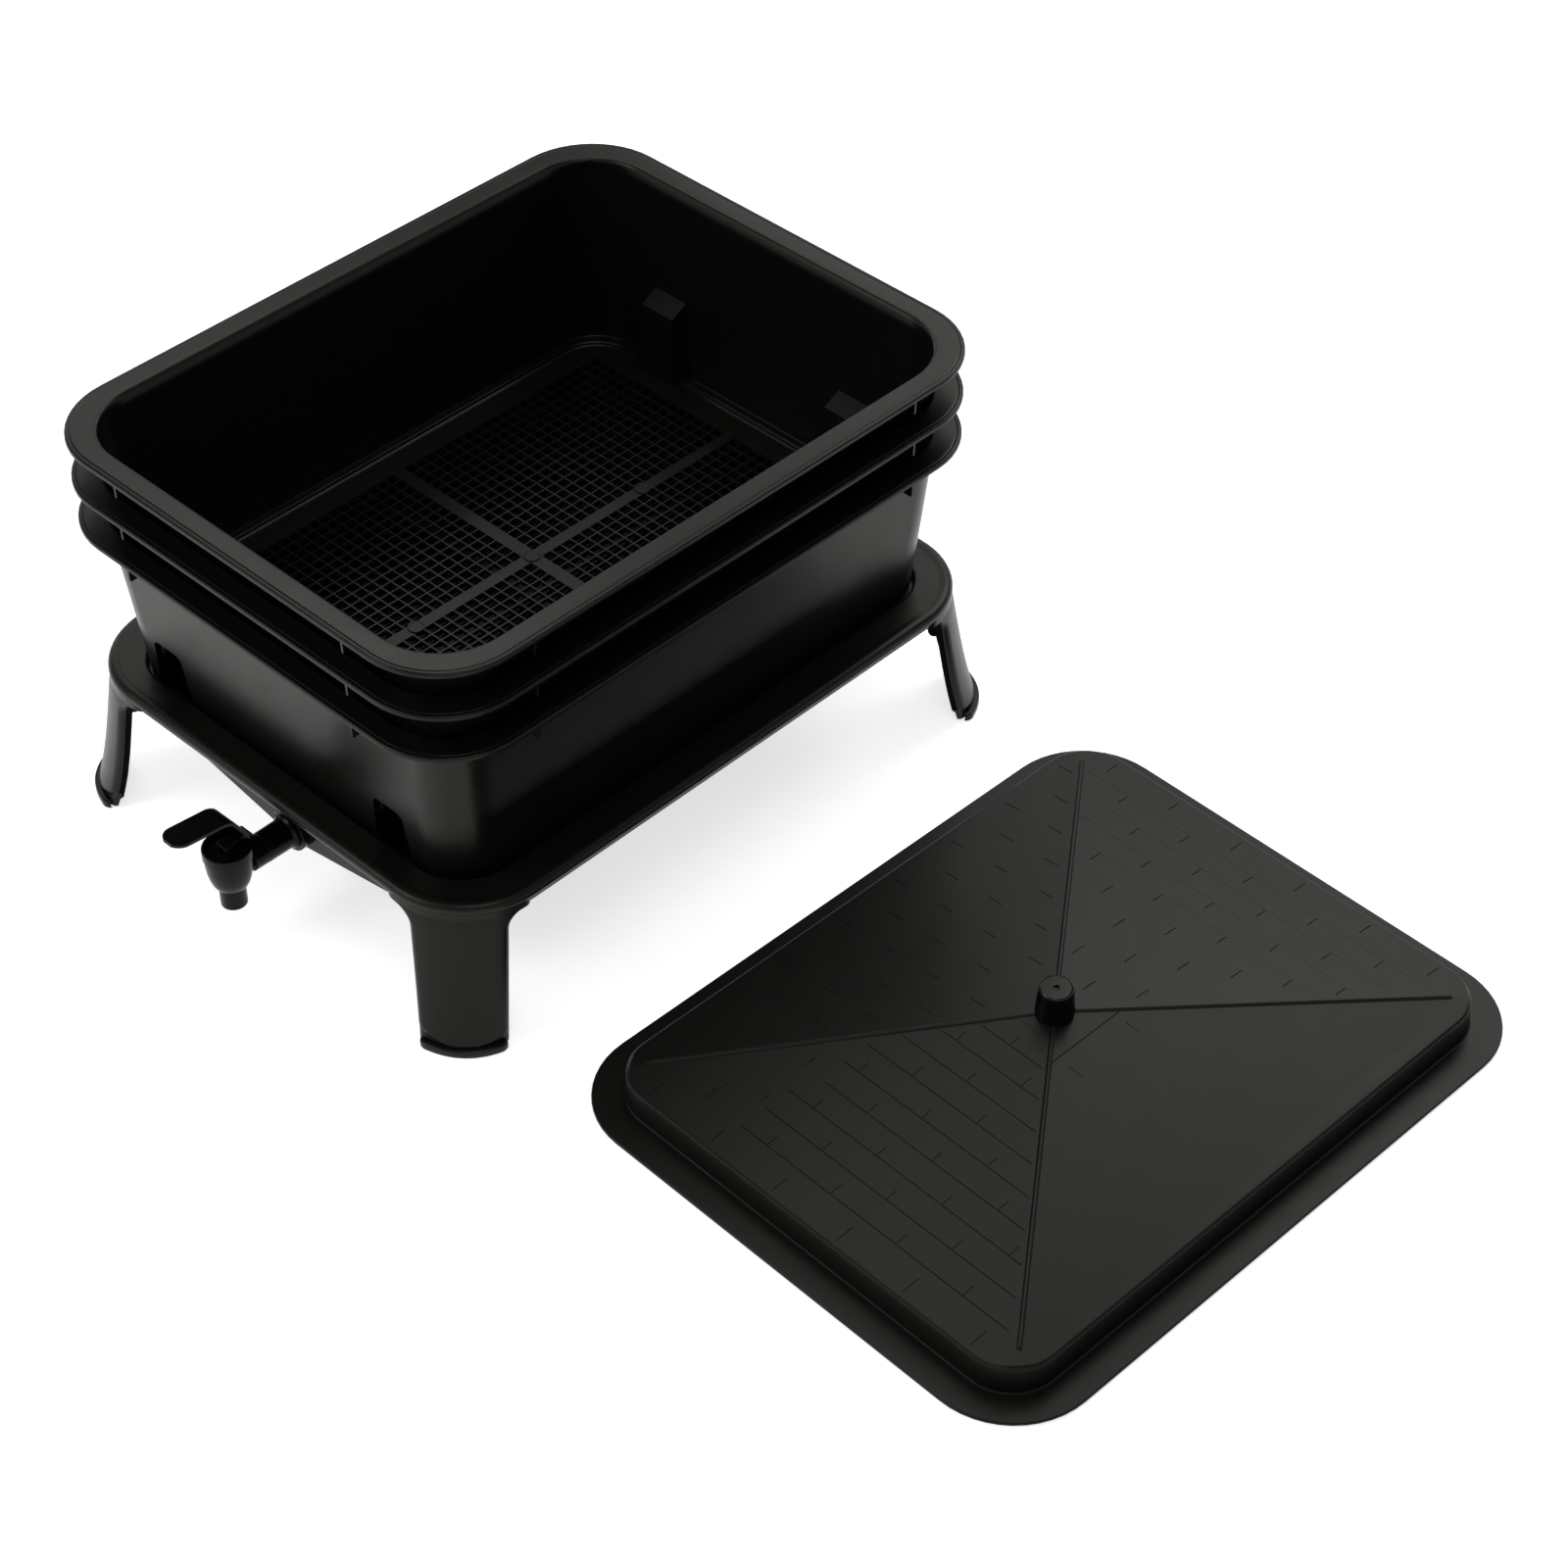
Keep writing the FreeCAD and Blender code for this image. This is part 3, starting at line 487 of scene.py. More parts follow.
def lines_along(rib, count, grow=0.0):
    """Where bars and openings change along one direction. grow widens each opening on both sides."""
    places = []
    for number in range(count):
        near = rib + number * PITCH
        places += [near - grow, near + PITCH - BAR + grow]
    places.append(rib + count * PITCH)
    return [-place for place in reversed(places)] + places


def openings(lines):
    """Which of the strips between the lines are open: every other one, from the middle rib outwards."""
    middle = len(lines) // 2 - 1
    return [(number - middle) % 2 == 1 for number in range(len(lines) - 1)]


def make_mesh_floor():
    """The flat mesh: every square opening, the two plain ribs and their round gate marks."""
    xs, ys = lines_along(RIB_X, COLUMNS), lines_along(RIB_Y, ROWS)
    xs_top, ys_top = lines_along(RIB_X, COLUMNS, SLOPE), lines_along(RIB_Y, ROWS, SLOPE)
    open_x, open_y = openings(xs), openings(ys)
    last_x, last_y = len(xs) - 1, len(ys) - 1
    top, bottom = -DEPTH, -DEPTH - FLOOR

    bm = bmesh.new()
    upper = [[bm.verts.new((x, y, top)) for y in ys_top] for x in xs_top]
    lower = [[bm.verts.new((x, y, bottom)) for y in ys] for x in xs]
    for i in range(last_x):
        for j in range(last_y):
            a = (upper[i][j], upper[i + 1][j], upper[i + 1][j + 1], upper[i][j + 1])
            b = (lower[i][j], lower[i + 1][j], lower[i + 1][j + 1], lower[i][j + 1])
            if open_x[i] and open_y[j]:
                for k in range(4):
                    following = (k + 1) % 4
                    bm.faces.new((a[following], a[k], b[k], b[following]))
            else:
                bm.faces.new(a)
                bm.faces.new(tuple(reversed(b)))

    border = [(i, 0) for i in range(last_x + 1)]
    border += [(last_x, j) for j in range(1, last_y + 1)]
    border += [(i, last_y) for i in range(last_x - 1, -1, -1)]
    border += [(0, j) for j in range(last_y - 1, 0, -1)]
    for k, (i, j) in enumerate(border):
        m, n = border[(k + 1) % len(border)]
        bm.faces.new((upper[i][j], upper[m][n], lower[m][n], lower[i][j]))

    for x in GATE_XS:
        mark = bmesh.new()
        turned(mark, [(radius, top + z) for radius, z in GATE_MARK], sides=32)
        mark.transform(Matrix.Translation((x, 0, 0)))
        join(bm, mark)
    return to_object("tray_mesh", bm, ORIGIN)


def make_trays():
    shell = make_shell()
    net = make_mesh_floor()
    for body in ("top_tray", "middle_tray", "bottom_tray"):
        node = "tray_" + body.split("_")[0]
        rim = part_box(node)[1].z
        for source, kind in ((shell, "shell"), (net, "mesh")):
            item = bpy.data.objects.new(node + "_" + kind, source.data.copy())
            item.data.transform(Matrix.Translation((STACK.x, STACK.y, rim)))
            bpy.context.scene.collection.objects.link(item)
            dress(item, body, "tray_plastic", tray_plastic, node)
    bpy.data.objects.remove(shell)
    bpy.data.objects.remove(net)


# -------------------------------------------------------------------- stand

# half sizes, corner radius and height: up the outside, over the top, down the skirt and back
RING_PROFILE = [
    (282.2, 225.6, 69.2, 117.6),
    (283.0, 226.4, 70.0, 118.3),
    (283.3, 226.7, 70.3, 119.6),
    (283.7, 227.1, 70.7, 121.8),
    (284.4, 227.8, 71.4, 122.7),
    (285.5, 228.9, 72.5, 123.6),
    (286.2, 229.6, 73.2, 124.8),
    (286.4, 229.8, 73.4, 126.2),
    (286.3, 229.7, 73.3, 127.8),
    (285.7, 229.1, 72.7, 129.3),
    (284.6, 228.0, 71.6, 130.6),
    (283.0, 226.4, 70.0, 131.5),
    (281.0, 224.4, 68.0, 132.0),
    (279.0, 222.4, 66.0, 131.9),
    (277.0, 220.4, 64.0, 131.5),
    (274.5, 217.9, 61.5, 131.3),
    (260.6, 199.6, 47.6, 131.2),
    (259.4, 198.4, 46.4, 131.0),
    (258.5, 197.5, 45.5, 130.4),
    (258.0, 197.0, 45.0, 129.4),
    (258.0, 197.0, 45.0, 120.5),
    (254.0, 193.0, 41.0, 120.5),
    (254.0, 193.0, 41.0, 99.0),
    (255.0, 194.0, 42.0, 99.0),
    (255.0, 194.0, 42.0, 118.0),
    (261.0, 200.0, 48.0, 118.0),
    (261.0, 200.0, 48.0, 128.4),
    (277.0, 220.4, 64.0, 128.6),
    (280.2, 223.6, 67.2, 126.8),
    (280.0, 223.4, 67.0, 118.0),
    (280.6, 224.0, 67.6, 117.6),
]

# Legs are drawn as (across, out, up) about the middle of the ring's corner. lean is 1 or -1 and says
# on which side across the tray's end is.
LEG_MIDDLE = (223.0, 162.25)
LEG_RADIUS = 73.4
LEG_TOP = 118.0
LEG_SKIN = 3.0
LEG_LEAN = (18.0, 10.5)  # how far a leg moves out along X and Y on its way down
LEG_START = (-10.0, -5.85)
EVEN_LEAN, FOOT_FLARE = 0.72, 0.28
FACE_ROUNDS_BY, FACE_ROUNDS_OVER = 20.0, 110.0  # the face grows rounder towards the foot
FACE_SWELLS_BY, FACE_SWELLS_OVER = 4.3, 105.0
TUCK, TUCK_FROM, TUCK_OVER = 0.5, 111.0, 6.0  # the face falls back a little under the ring
FOOT_TO_END, FOOT_TO_SIDE = 37.2, 29.0  # widths at the foot, from the middle
KNEE_TO_END, KNEE_TO_SIDE = 1.6, 4.6  # how much wider it is at the knee, where it starts to spread
KNEE = 102.0
KNEE_ROUND = 16.0
EDGE_ROUND = 3.4
EDGE_DEPTH = 1.6
EDGE_LIP = 0.8
EDGE_THICKNESS = 2.4
BACK_MARGIN = 4.5
LEG_HEIGHTS = (
    20.0, 25.0, 28.0, 34.0, 46.0, 60.0, 73.0, 85.0, 96.0, 102.0, 105.0, 108.0, 110.5, 112.5, 114.5, 116.0,
    117.2, 118.0, 121.0, 124.0,
)
# the ribs inside a leg: the side ribs' heights, and height and depth of the middle one
SIDE_RIB_LEVELS = (8.0, 12.0, 20.0, 34.0, 60.0, 85.0, 102.0, 108.0, 113.0, 118.5)
SIDE_RIB = (1.3, 3.3)  # from the side inwards
SIDE_RIB_DEPTH, SIDE_RIB_FOOT_DEPTH = 6.4, 3.0
MIDDLE_RIB_HALF = 1.2
MIDDLE_RIB = ((70.0, 8.5), (71.0, 10.5), (74.0, 11.8), (90.0, 12.2), (105.0, 12.6), (118.5, 13.0))

TOE = 7.0
TOE_FRONT = 88.3
TOE_BULGE = 106.0
TOE_ROUND = 5.5
TOE_END_DEPTH = 5.0
TOE_THICKNESS = 5.6
TOE_HOLLOW = 0.0015
TOE_MARGIN = 4.0
# the cut in the leg's face over the toe: its depth, how much it rises to the sides, and its soft edge
CUT_DEPTH, CUT_RISE, CUT_HALF, CUT_POWER, CUT_SOFT = 2.4, 7.5, 33.0, 2.6, 1.4
TOE_LEVELS = (
    (0.0, 1.3), (0.5, 0.5), (1.4, 0.0), (TOE - 1.6, 0.0), (TOE - 0.7, 0.3), (TOE, 1.2), (TOE + 0.2, 2.6),
)


def leg_edges(z):
    """How far a leg reaches towards the tray's end, and towards its long side."""
    spread = 0.0
    if z > KNEE:
        spread = KNEE_ROUND - math.sqrt(max(KNEE_ROUND ** 2 - (z - KNEE) ** 2, 0.0))
    rise = min(z, KNEE) / KNEE
    return FOOT_TO_END + KNEE_TO_END * rise + spread, FOOT_TO_SIDE + KNEE_TO_SIDE * rise + spread


def leg_shape(z, lean):
    """The leg's two sides across, its middle, and how far out its face is, at a height."""
    towards_end, towards_side = leg_edges(z)
    low, high = (-towards_side, towards_end) if lean > 0 else (-towards_end, towards_side)
    drop = max(LEG_TOP - z, 0.0)
    share = EVEN_LEAN * drop / LEG_TOP + FOOT_FLARE * (drop / LEG_TOP) ** 4
    x, y = LEG_LEAN[0] * share + LEG_START[0], LEG_LEAN[1] * share + LEG_START[1]
    shift, base = lean * (x - y) * math.sqrt(0.5), (x + y) * math.sqrt(0.5)
    radius = LEG_RADIUS - FACE_ROUNDS_BY * min(drop / FACE_ROUNDS_OVER, 1.0)
    tuck = TUCK * min(max((z - TUCK_FROM) / TUCK_OVER, 0.0), 1.0)
    crest = base + LEG_RADIUS - tuck + FACE_SWELLS_BY * min(drop / FACE_SWELLS_OVER, 1.0)

    def out(across, inset=0.0):
        return crest - radius + math.sqrt((radius - inset) ** 2 - (across - shift) ** 2)

    return low, high, shift, out


def leg_side(z, lean, sign):
    """The outermost place of a leg's side: how far across, and how far out."""
    low, high, shift, out = leg_shape(z, lean)
    at = high - EDGE_ROUND if sign > 0 else low + EDGE_ROUND
    slope = out(at - sign) - out(at)
    return at + sign * EDGE_ROUND, out(at) - EDGE_ROUND * (1 + slope)


def leg_section(z, lean):
    """The channel's outline at a height: its face, its two rounded edges and its inner side."""
    low, high, shift, out = leg_shape(z, lean)

    def cut_away(across):
        """How deep the face is cut back over the toe."""
        cut = TOE + 1.0 + CUT_RISE * (abs(across - shift) / CUT_HALF) ** CUT_POWER
        return CUT_DEPTH * min(max((cut - z) / CUT_SOFT, 0.0), 1.0)

    first, last = low + EDGE_ROUND, high - EDGE_ROUND
    face = []
    for step in range(25):
        across = first + (last - first) * step / 24
        face.append((across, out(across) - cut_away(across)))
    edges = []
    for sign, at in ((-1, first), (1, last)):
        edge = []
        slope = out(at - sign) - out(at)
        for step in range(1, 6):
            angle = math.pi / 2 * step / 5
            over = EDGE_ROUND * math.sin(angle)
            fall = EDGE_ROUND * (1 - math.cos(angle)) + slope * over
            edge.append((at + sign * over, out(at) - fall - cut_away(at + sign * over)))
        far, level = edge[-1]
        edge.append((far, level - EDGE_DEPTH + EDGE_LIP))
        edge.append((far - sign * EDGE_LIP, level - EDGE_DEPTH))
        edge.append((far - sign * EDGE_THICKNESS, level - EDGE_DEPTH))
        edges.append(edge)
    outline = list(reversed(edges[0])) + face + edges[1]
    for step in range(13):
        across = high - BACK_MARGIN - (high - low - 2 * BACK_MARGIN) * step / 12
        outline.append((across, out(across, LEG_SKIN) - 1.0))
    return [Vector((across, level, z)) for across, level in outline]


def toe_section(z, inset, lean):
    """The toe's outline: a rounder front than the face, with round ends."""
    low, high = (-FOOT_TO_SIDE, FOOT_TO_END) if lean > 0 else (-FOOT_TO_END, FOOT_TO_SIDE)
    first, last = low + TOE_ROUND, high - TOE_ROUND

    def out(across):
        return TOE_FRONT - inset - (across - lean * 1.0) ** 2 / TOE_BULGE

    front = []
    for step in range(17):
        across = first + (last - first) * step / 16
        front.append((across, out(across)))
    edges = []
    for sign, at in ((-1, first), (1, last)):
        edge = []
        slope = out(at - sign) - out(at)
        for step in range(1, 6):
            angle = math.pi / 2 * step / 5
            over = (TOE_ROUND - inset) * math.sin(angle)
            fall = TOE_END_DEPTH * (1 - math.cos(angle)) + 0.6 * slope * over
            edge.append((at + sign * over, out(at) - fall))
        far, level = edge[-1]
        edge.append((far - sign * 0.5, level - 1.2))
        edges.append(edge)
    outline = list(reversed(edges[0])) + front + edges[1]
    for step in range(9):
        across = high - TOE_MARGIN - (high - low - 2 * TOE_MARGIN) * step / 8
        outline.append((across, out(across) + inset - TOE_THICKNESS + TOE_HOLLOW * across ** 2))
    return [Vector((across, level, z)) for across, level in outline]


def draw_leg(bm, lean):
    heights = [3.0, TOE - 1.0] + [TOE + 0.8 * step for step in range(15)] + list(LEG_HEIGHTS)
    loft(bm, [leg_section(z, lean) for z in heights], caps=True)
    loft(bm, [toe_section(z, inset, lean) for z, inset in TOE_LEVELS], caps=True)


def draw_ribs(bm, lean):
    """The ribs inside a leg: one along each side, and a deeper one in the middle of its upper half."""
    for sign in (-1, 1):
        rows = []
        for z in SIDE_RIB_LEVELS:
            far, level = leg_side(z, lean, sign)
            depth = SIDE_RIB_FOOT_DEPTH if z == SIDE_RIB_LEVELS[0] else SIDE_RIB_DEPTH
            near, deep = SIDE_RIB
            corners = ((near, 1.0), (deep, 1.0), (deep, depth), (near, depth))
            rows.append([Vector((far - sign * inward, level - down, z)) for inward, down in corners])
        loft(bm, rows, caps=True)
    rows = []
    for z, reach in MIDDLE_RIB:
        low, high, shift, out = leg_shape(z, lean)
        back = (leg_side(z, lean, 1)[1] + leg_side(z, lean, -1)[1]) / 2 - reach
        front = out(shift, LEG_SKIN) - 0.4
        half = MIDDLE_RIB_HALF
        corners = ((-half, back), (half, back), (half, front), (-half, front))
        rows.append([Vector((shift + across, level, z)) for across, level in corners])
    loft(bm, rows, caps=True)


def leg_matrix(sign_x, sign_y):
    """From across, out and up to the stack's own directions, about a leg's middle."""
    out = Vector((sign_x, sign_y, 0)).normalized()
    across = Vector((out.y, -out.x, 0))
    return Matrix((
        (across.x, out.x, 0, sign_x * LEG_MIDDLE[0]),
        (across.y, out.y, 0, sign_y * LEG_MIDDLE[1]),
        (0, 0, 1, 0),
        (0, 0, 0, 1),
    ))


def at_every_leg(bm, draw):
    """Put what the function draws into the mesh at all four legs."""
    for sign_x, sign_y in QUARTERS:
        own = bmesh.new()
        draw(own, sign_x * sign_y)
        own.transform(leg_matrix(sign_x, sign_y))
        bmesh.ops.recalc_face_normals(own, faces=own.faces)
        join(bm, own)


def make_stand():
    ribs = bmesh.new()
    at_every_leg(ribs, draw_ribs)
    # the ribs inside the legs take the darker material, whose darkness is painted shade
    dress(to_object("stand_ribs", ribs, STACK), "base", "stand_plastic", rib_plastic_painted_shade)
    bm = bmesh.new()
    loft(bm, [ring(*section, arc=16) for section in RING_PROFILE], closed=True)
    at_every_leg(bm, draw_leg)
    item = to_object("stand_moulding", bm, STACK)
    dress(item, "base", "stand_plastic", stand_plastic, "stand", limit=30.0)


# ---------------------------------------------------------------------- lid

STEP_X = 263.3
STEP_Y = 205.2
EDGE = 28.0
RISE = 22.0
LID_SKIN = 2.6

# half sizes, corner radius and height, from the inner edge under the lid to the step's top edge
LID_PROFILE = [
    (260.8, 202.7, 37.5, 0.4),
    (261.2, 203.1, 37.9, 0.0),
    (262.9, 204.8, 39.6, 0.0),
    (263.3, 205.2, 40.0, 0.4),
    (263.6, 205.5, 40.3, 1.0),
    (289.3, 231.2, 68.8, 1.0),
    (290.2, 232.1, 69.7, 1.4),
    (290.5, 232.4, 70.0, 2.2),
    (290.3, 232.2, 69.8, 3.3),
    (289.7, 231.6, 69.2, 3.9),
    (289.0, 230.9, 68.5, 4.0),
    (265.6, 207.5, 42.3, 4.0),
    (264.7, 206.6, 41.4, 4.3),
    (264.1, 206.0, 40.8, 5.0),
    (263.9, 205.8, 40.6, 6.0),
    (263.0, 204.9, 39.7, 25.5),
    (262.8, 204.7, 39.5, 26.6),
    (262.2, 204.1, 38.9, 27.4),
    (261.3, 203.2, 38.0, 27.9),
]

# half sizes, corner radius, and height or depth under the roof
ROOF_EDGE = (260.1, 202.0, 36.8, 0.0)
INNER_EDGE = (260.8, 202.7, 37.5, 24.0)
INNER_ROOF = (258.0, 199.9, 34.7, LID_SKIN)

# the masonry relief: heights of courses, and where joints start and how far apart they are
COURSE = 23.1
END_JOINT_START, END_JOINT_PITCH = 2.1, 32.1
SIDE_JOINT_START, SIDE_JOINT_PITCH = 1.0, 31.3
SIDE_START = 9.4
BEAD_ROOM = 4.4
JOINT_ROOM = 2.0
DEEP = (1.2, 0.7)  # width and depth of a groove
SHALLOW = (1.2, 0.4)
JOINT = (1.3, 0.7)
TAP_JOINT = (1.1, 0.55)
# course: where it starts and ends along Y on the face over the tap's end
TAP_COURSES = {
    10: (-170, 92), 9: (-154, 92), 8: (-138, 92), 7: (-120, 76), 6: (-103, 80), 5: (-84, 80), 4: (-66, 66),
    3: (-48, 48), 2: (-30, 31), 1: (-12, 12),
}
FAINT_COURSES = (7, 8, 9, 10)
LAST_COURSE = 11
TAP_JOINT_LENGTH = 11.0
TAP_LAST_JOINT = (258.0, 17.0)  # where the last course's joints start, and their length
FAR_LAST_JOINT = 258.5
SIDE_JOINT_LENGTH = 14.0
SIDE_LAST_JOINT = 199.5

# the beads on the hips: their ends, and their section as (across, up) pairs
BEAD_END = (238.3, 185.7)
BEAD_START = 15.3
BEAD_HEIGHT = 1.6
BEAD_SECTION = (
    (-2.1, -1.4), (-1.9, 0.1), (-1.3, 0.72), (-0.5, 1.0), (0.5, 1.0), (1.3, 0.72), (1.9, 0.1), (2.1, -1.4),
)

KNOB_PROFILE = [
    (2.1, 50.5), (2.1, 46.4), (14.4, 46.4), (14.7, 47.0), (15.0, 51.0), (14.9, 54.0), (13.4, 73.4),
    (13.2, 74.4), (12.7, 75.2), (12.1, 75.5), (11.5, 75.3), (11.2, 75.0), (3.2, 75.0), (2.9, 75.4),
    (2.3, 75.4), (2.0, 75.0), (1.9, 73.6), (0, 73.4),
]


def roof(x, y, lower=0.0):
    """The roof's height at a place, or that of a roof below it."""
    share = max(abs(x) / STEP_X, abs(y) / STEP_Y)
    return EDGE + RISE * (1 - share) - lower


def hip_angle(half_x, half_y, corner):
    """Where a round corner crosses the hip, as an angle from X."""
    low, high = 0.0, math.pi / 2
    for _ in range(40):
        middle = (low + high) / 2
        x = (half_x - corner + corner * math.cos(middle)) / STEP_X
        y = (half_y - corner + corner * math.sin(middle)) / STEP_Y
        if x > y:
            low = middle
        else:
            high = middle
    return low


def hip_ring(half_x, half_y, corner, lower):
    """A ring on the roof whose corner points include the one under each hip."""
    hip = hip_angle(half_x, half_y, corner)
    half = ARC // 2
    fan = [hip * step / half for step in range(half)]
    fan += [hip + (math.pi / 2 - hip) * step / half for step in range(half + 1)]
    points = []
    for number, (sign_x, sign_y) in enumerate(QUARTERS):
        angles = [math.pi / 2 - angle for angle in reversed(fan)] if number % 2 else fan
        for angle in angles:
            turn = math.pi / 2 * number + angle
            x = sign_x * (half_x - corner) + corner * math.cos(turn)
            y = sign_y * (half_y - corner) + corner * math.sin(turn)
            points.append(Vector((x, y, roof(x, y, lower))))
    return points


def lid_ring(half_x, half_y, corner, z):
    """The same ring, level."""
    return [Vector((p.x, p.y, z)) for p in hip_ring(half_x, half_y, corner, 0.0)]


def fan_roof(bm, row, apex_z):
    """Four flat roof faces between the hips of a ring of vertices."""
    apex = bm.verts.new((0, 0, apex_z))
    hips = [number * (ARC + 1) + ARC // 2 for number in range(4)]
    for start, end in zip(hips, hips[1:] + [hips[0] + len(row)]):
        span = [row[step % len(row)] for step in range(start, end + 1)]
        bm.faces.new(span + [apex])


def groove(bm, start, end, width, depth):
    """A V-shaped cutter along a line on the roof."""
    start, end = Vector(start), Vector(end)
    run = (end - start).normalized()
    across = Vector((-run.y, run.x)) * width / 2
    rows = []
    for point in (start, end):
        z = roof(point.x, point.y)
        left, right = point + across, point - across
        rows.append([
            Vector((left.x, left.y, z + 0.4)),
            Vector((point.x, point.y, z - depth)),
            Vector((right.x, right.y, z + 0.4)),
        ])
    loft(bm, rows, caps=True)


def end_limit(level, room):
    """How far an end face reaches along Y, this far out, when the beads and some room are left free."""
    return level * STEP_Y / STEP_X - BEAD_ROOM - room


def side_limit(level, room):
    return level * STEP_X / STEP_Y - BEAD_ROOM - room


def end_joints(course):
    """Where joints stand along an end's course: every other place, in turn from course to course."""
    return [END_JOINT_START + END_JOINT_PITCH * place for place in range(-5, 6) if (place + course) % 2 == 0]


def side_joints(course):
    return [SIDE_JOINT_START + SIDE_JOINT_PITCH * place for place in range(-8, 9) if (place + course) % 2]


def tap_end_relief(bm):
    """The face over the tap's end: whole courses and joints."""
    for course, (low, high) in TAP_COURSES.items():
        x = -COURSE * course
        limit = end_limit(COURSE * course, 1.5)
        groove(bm, (x, max(low, -limit)), (x, min(high, limit)), *(DEEP if course > 1 else SHALLOW))
    for course in range(1, LAST_COURSE + 1):
        outer, length = TAP_LAST_JOINT if course == LAST_COURSE else (COURSE * course, TAP_JOINT_LENGTH)
        for y in end_joints(course):
            if abs(y) < end_limit(outer - length, JOINT_ROOM):
                groove(bm, (-outer + 0.8, y), (-outer + length, y), *TAP_JOINT)
    groove(bm, (-231.0, 134.0), (-231.0, 158.0), 0.8, 0.3)
    groove(bm, (-229.4, 128.4), (-210.0, 128.4), 0.9, 0.4)


def far_end_relief(bm):
    """The far end: the joints show, the courses barely."""
    for course in FAINT_COURSES:
        x = COURSE * course
        limit = end_limit(x, 3.0)
        groove(bm, (x, -limit), (x, limit), 1.2, 0.12)
    for course in range(1, LAST_COURSE + 1):
        near, far = COURSE * (course - 0.53), min(COURSE * (course + 0.07), FAR_LAST_JOINT)
        if course in FAINT_COURSES:
            far = COURSE * course - 0.9
        for y in end_joints(course):
            if abs(y) < end_limit(near, JOINT_ROOM):
                groove(bm, (near, y), (far, y), *JOINT)


def long_side_relief(bm):
    """The two long faces: joints on one, and a single course of them on the other."""
    for course in range(2, 9):
        outer = SIDE_START + COURSE * course
        near, far = outer - SIDE_JOINT_LENGTH, min(outer, SIDE_LAST_JOINT)
        for x in side_joints(course):
            if abs(x) >= side_limit(near, JOINT_ROOM):
                continue
            groove(bm, (x, near), (x, far), *JOINT)
            if course == 2:
                groove(bm, (x, -near), (x, -far + 0.8), 1.1, 0.5)
    groove(bm, (-38.0, -31.4), (36.0, -31.4), *DEEP)
    for course in (5, 6, 7):
        y = SIDE_START + COURSE * course
        groove(bm, (-y * 1.1, y + 0.9), (20.0 - 6 * course, y + 0.9), 1.2, 0.1)


def bead_rows(sign_x, sign_y):
    """A bead from the foot of a hip, where it rises out of the roof, to the knob."""
    far = Vector((sign_x * BEAD_END[0], sign_y * BEAD_END[1]))
    near = far * (BEAD_START / far.length)
    inward = far.normalized()
    across = Vector((-far.y, far.x)).normalized()
    ends = ((far, -0.6), (far - inward * 1.6, 0.9), (far - inward * 5.0, BEAD_HEIGHT), (near, BEAD_HEIGHT))
    rows = []
    for point, height in ends:
        z = roof(point.x, point.y)
        row = []
        for side, level in BEAD_SECTION:
            spot = point + across * side
            row.append(Vector((spot.x, spot.y, z + (level * height if level > 0 else level))))
        rows.append(row)
    return rows


def make_lid():
    turn = Matrix.Translation(COVER) @ Matrix.Rotation(COVER_TURN, 4, "Z")
    bm = bmesh.new()
    rows = loft(bm, [lid_ring(*section) for section in LID_PROFILE] + [hip_ring(*ROOF_EDGE)])
    fan_roof(bm, rows[-1], EDGE + RISE)
    under = [[bm.verts.new(p) for p in points] for points in (lid_ring(*INNER_EDGE), hip_ring(*INNER_ROOF))]
    bridge(bm, rows[0], under[0])
    bridge(bm, under[0], under[1])
    fan_roof(bm, under[1], EDGE + RISE - LID_SKIN)
    lid = to_object("lid_moulding", bm, turn)

    beads = bmesh.new()
    for sign_x, sign_y in QUARTERS:
        loft(beads, bead_rows(sign_x, sign_y), caps=True)
    combine(lid, to_object("beads", beads, turn), "UNION")
    cutters = bmesh.new()
    tap_end_relief(cutters)
    far_end_relief(cutters)
    long_side_relief(cutters)
    combine(lid, to_object("grooves", cutters, turn), "DIFFERENCE")
    dress(lid, "lid_assembly", "lid_plastic", lid_plastic, "lid", limit=24.0)

    knob = bmesh.new()
    turned(knob, KNOB_PROFILE, sides=64)
    item = to_object("knob_turning", knob, turn)
    dress(item, "lid_assembly", "knob_plastic", knob_plastic, "lid_knob")


# ---------------------------------------------------------------------- tap

# radius and height
UPRIGHT_PROFILE = [
    (8.0, 37.0), (10.0, 37.0), (10.4, 37.3), (10.5, 38.0), (10.5, 54.6), (11.4, 55.6), (13.2, 57.6),
    (15.0, 61.0), (16.4, 65.5), (17.6, 71.5), (18.3, 78.0), (18.6, 84.3), (18.2, 84.7), (15.3, 84.7),
    (15.3, 87.5), (11.4, 87.5), (11.4, 64.0), (8.0, 64.0),
]
BONNET_PROFILE = [
    (3.0, 88.7), (15.5, 88.7), (15.5, 85.0), (18.6, 85.0), (19.2, 85.4), (19.5, 86.2), (19.5, 93.6),
    (19.2, 94.6), (18.4, 95.0), (17.6, 94.9), (17.2, 94.4), (16.9, 92.8), (16.8, 90.2), (3.0, 90.2),
]
# radius and distance from the upright along X
BARREL_PROFILE = [
    (0, 17.0), (12.1, 17.0), (12.5, 17.4), (12.5, 29.6), (12.1, 30.0), (12.1, 30.6), (12.6, 31.0),
    (12.6, 52.0), (13.2, 53.6), (14.6, 55.4), (14.6, 57.6), (17.4, 57.6), (18.0, 58.2), (18.0, 64.9),
    (13.1, 64.9), (13.1, 78.5), (8.0, 78.5), (8.0, 19.0), (0, 19.0),
]
BARREL_Z = 72.0

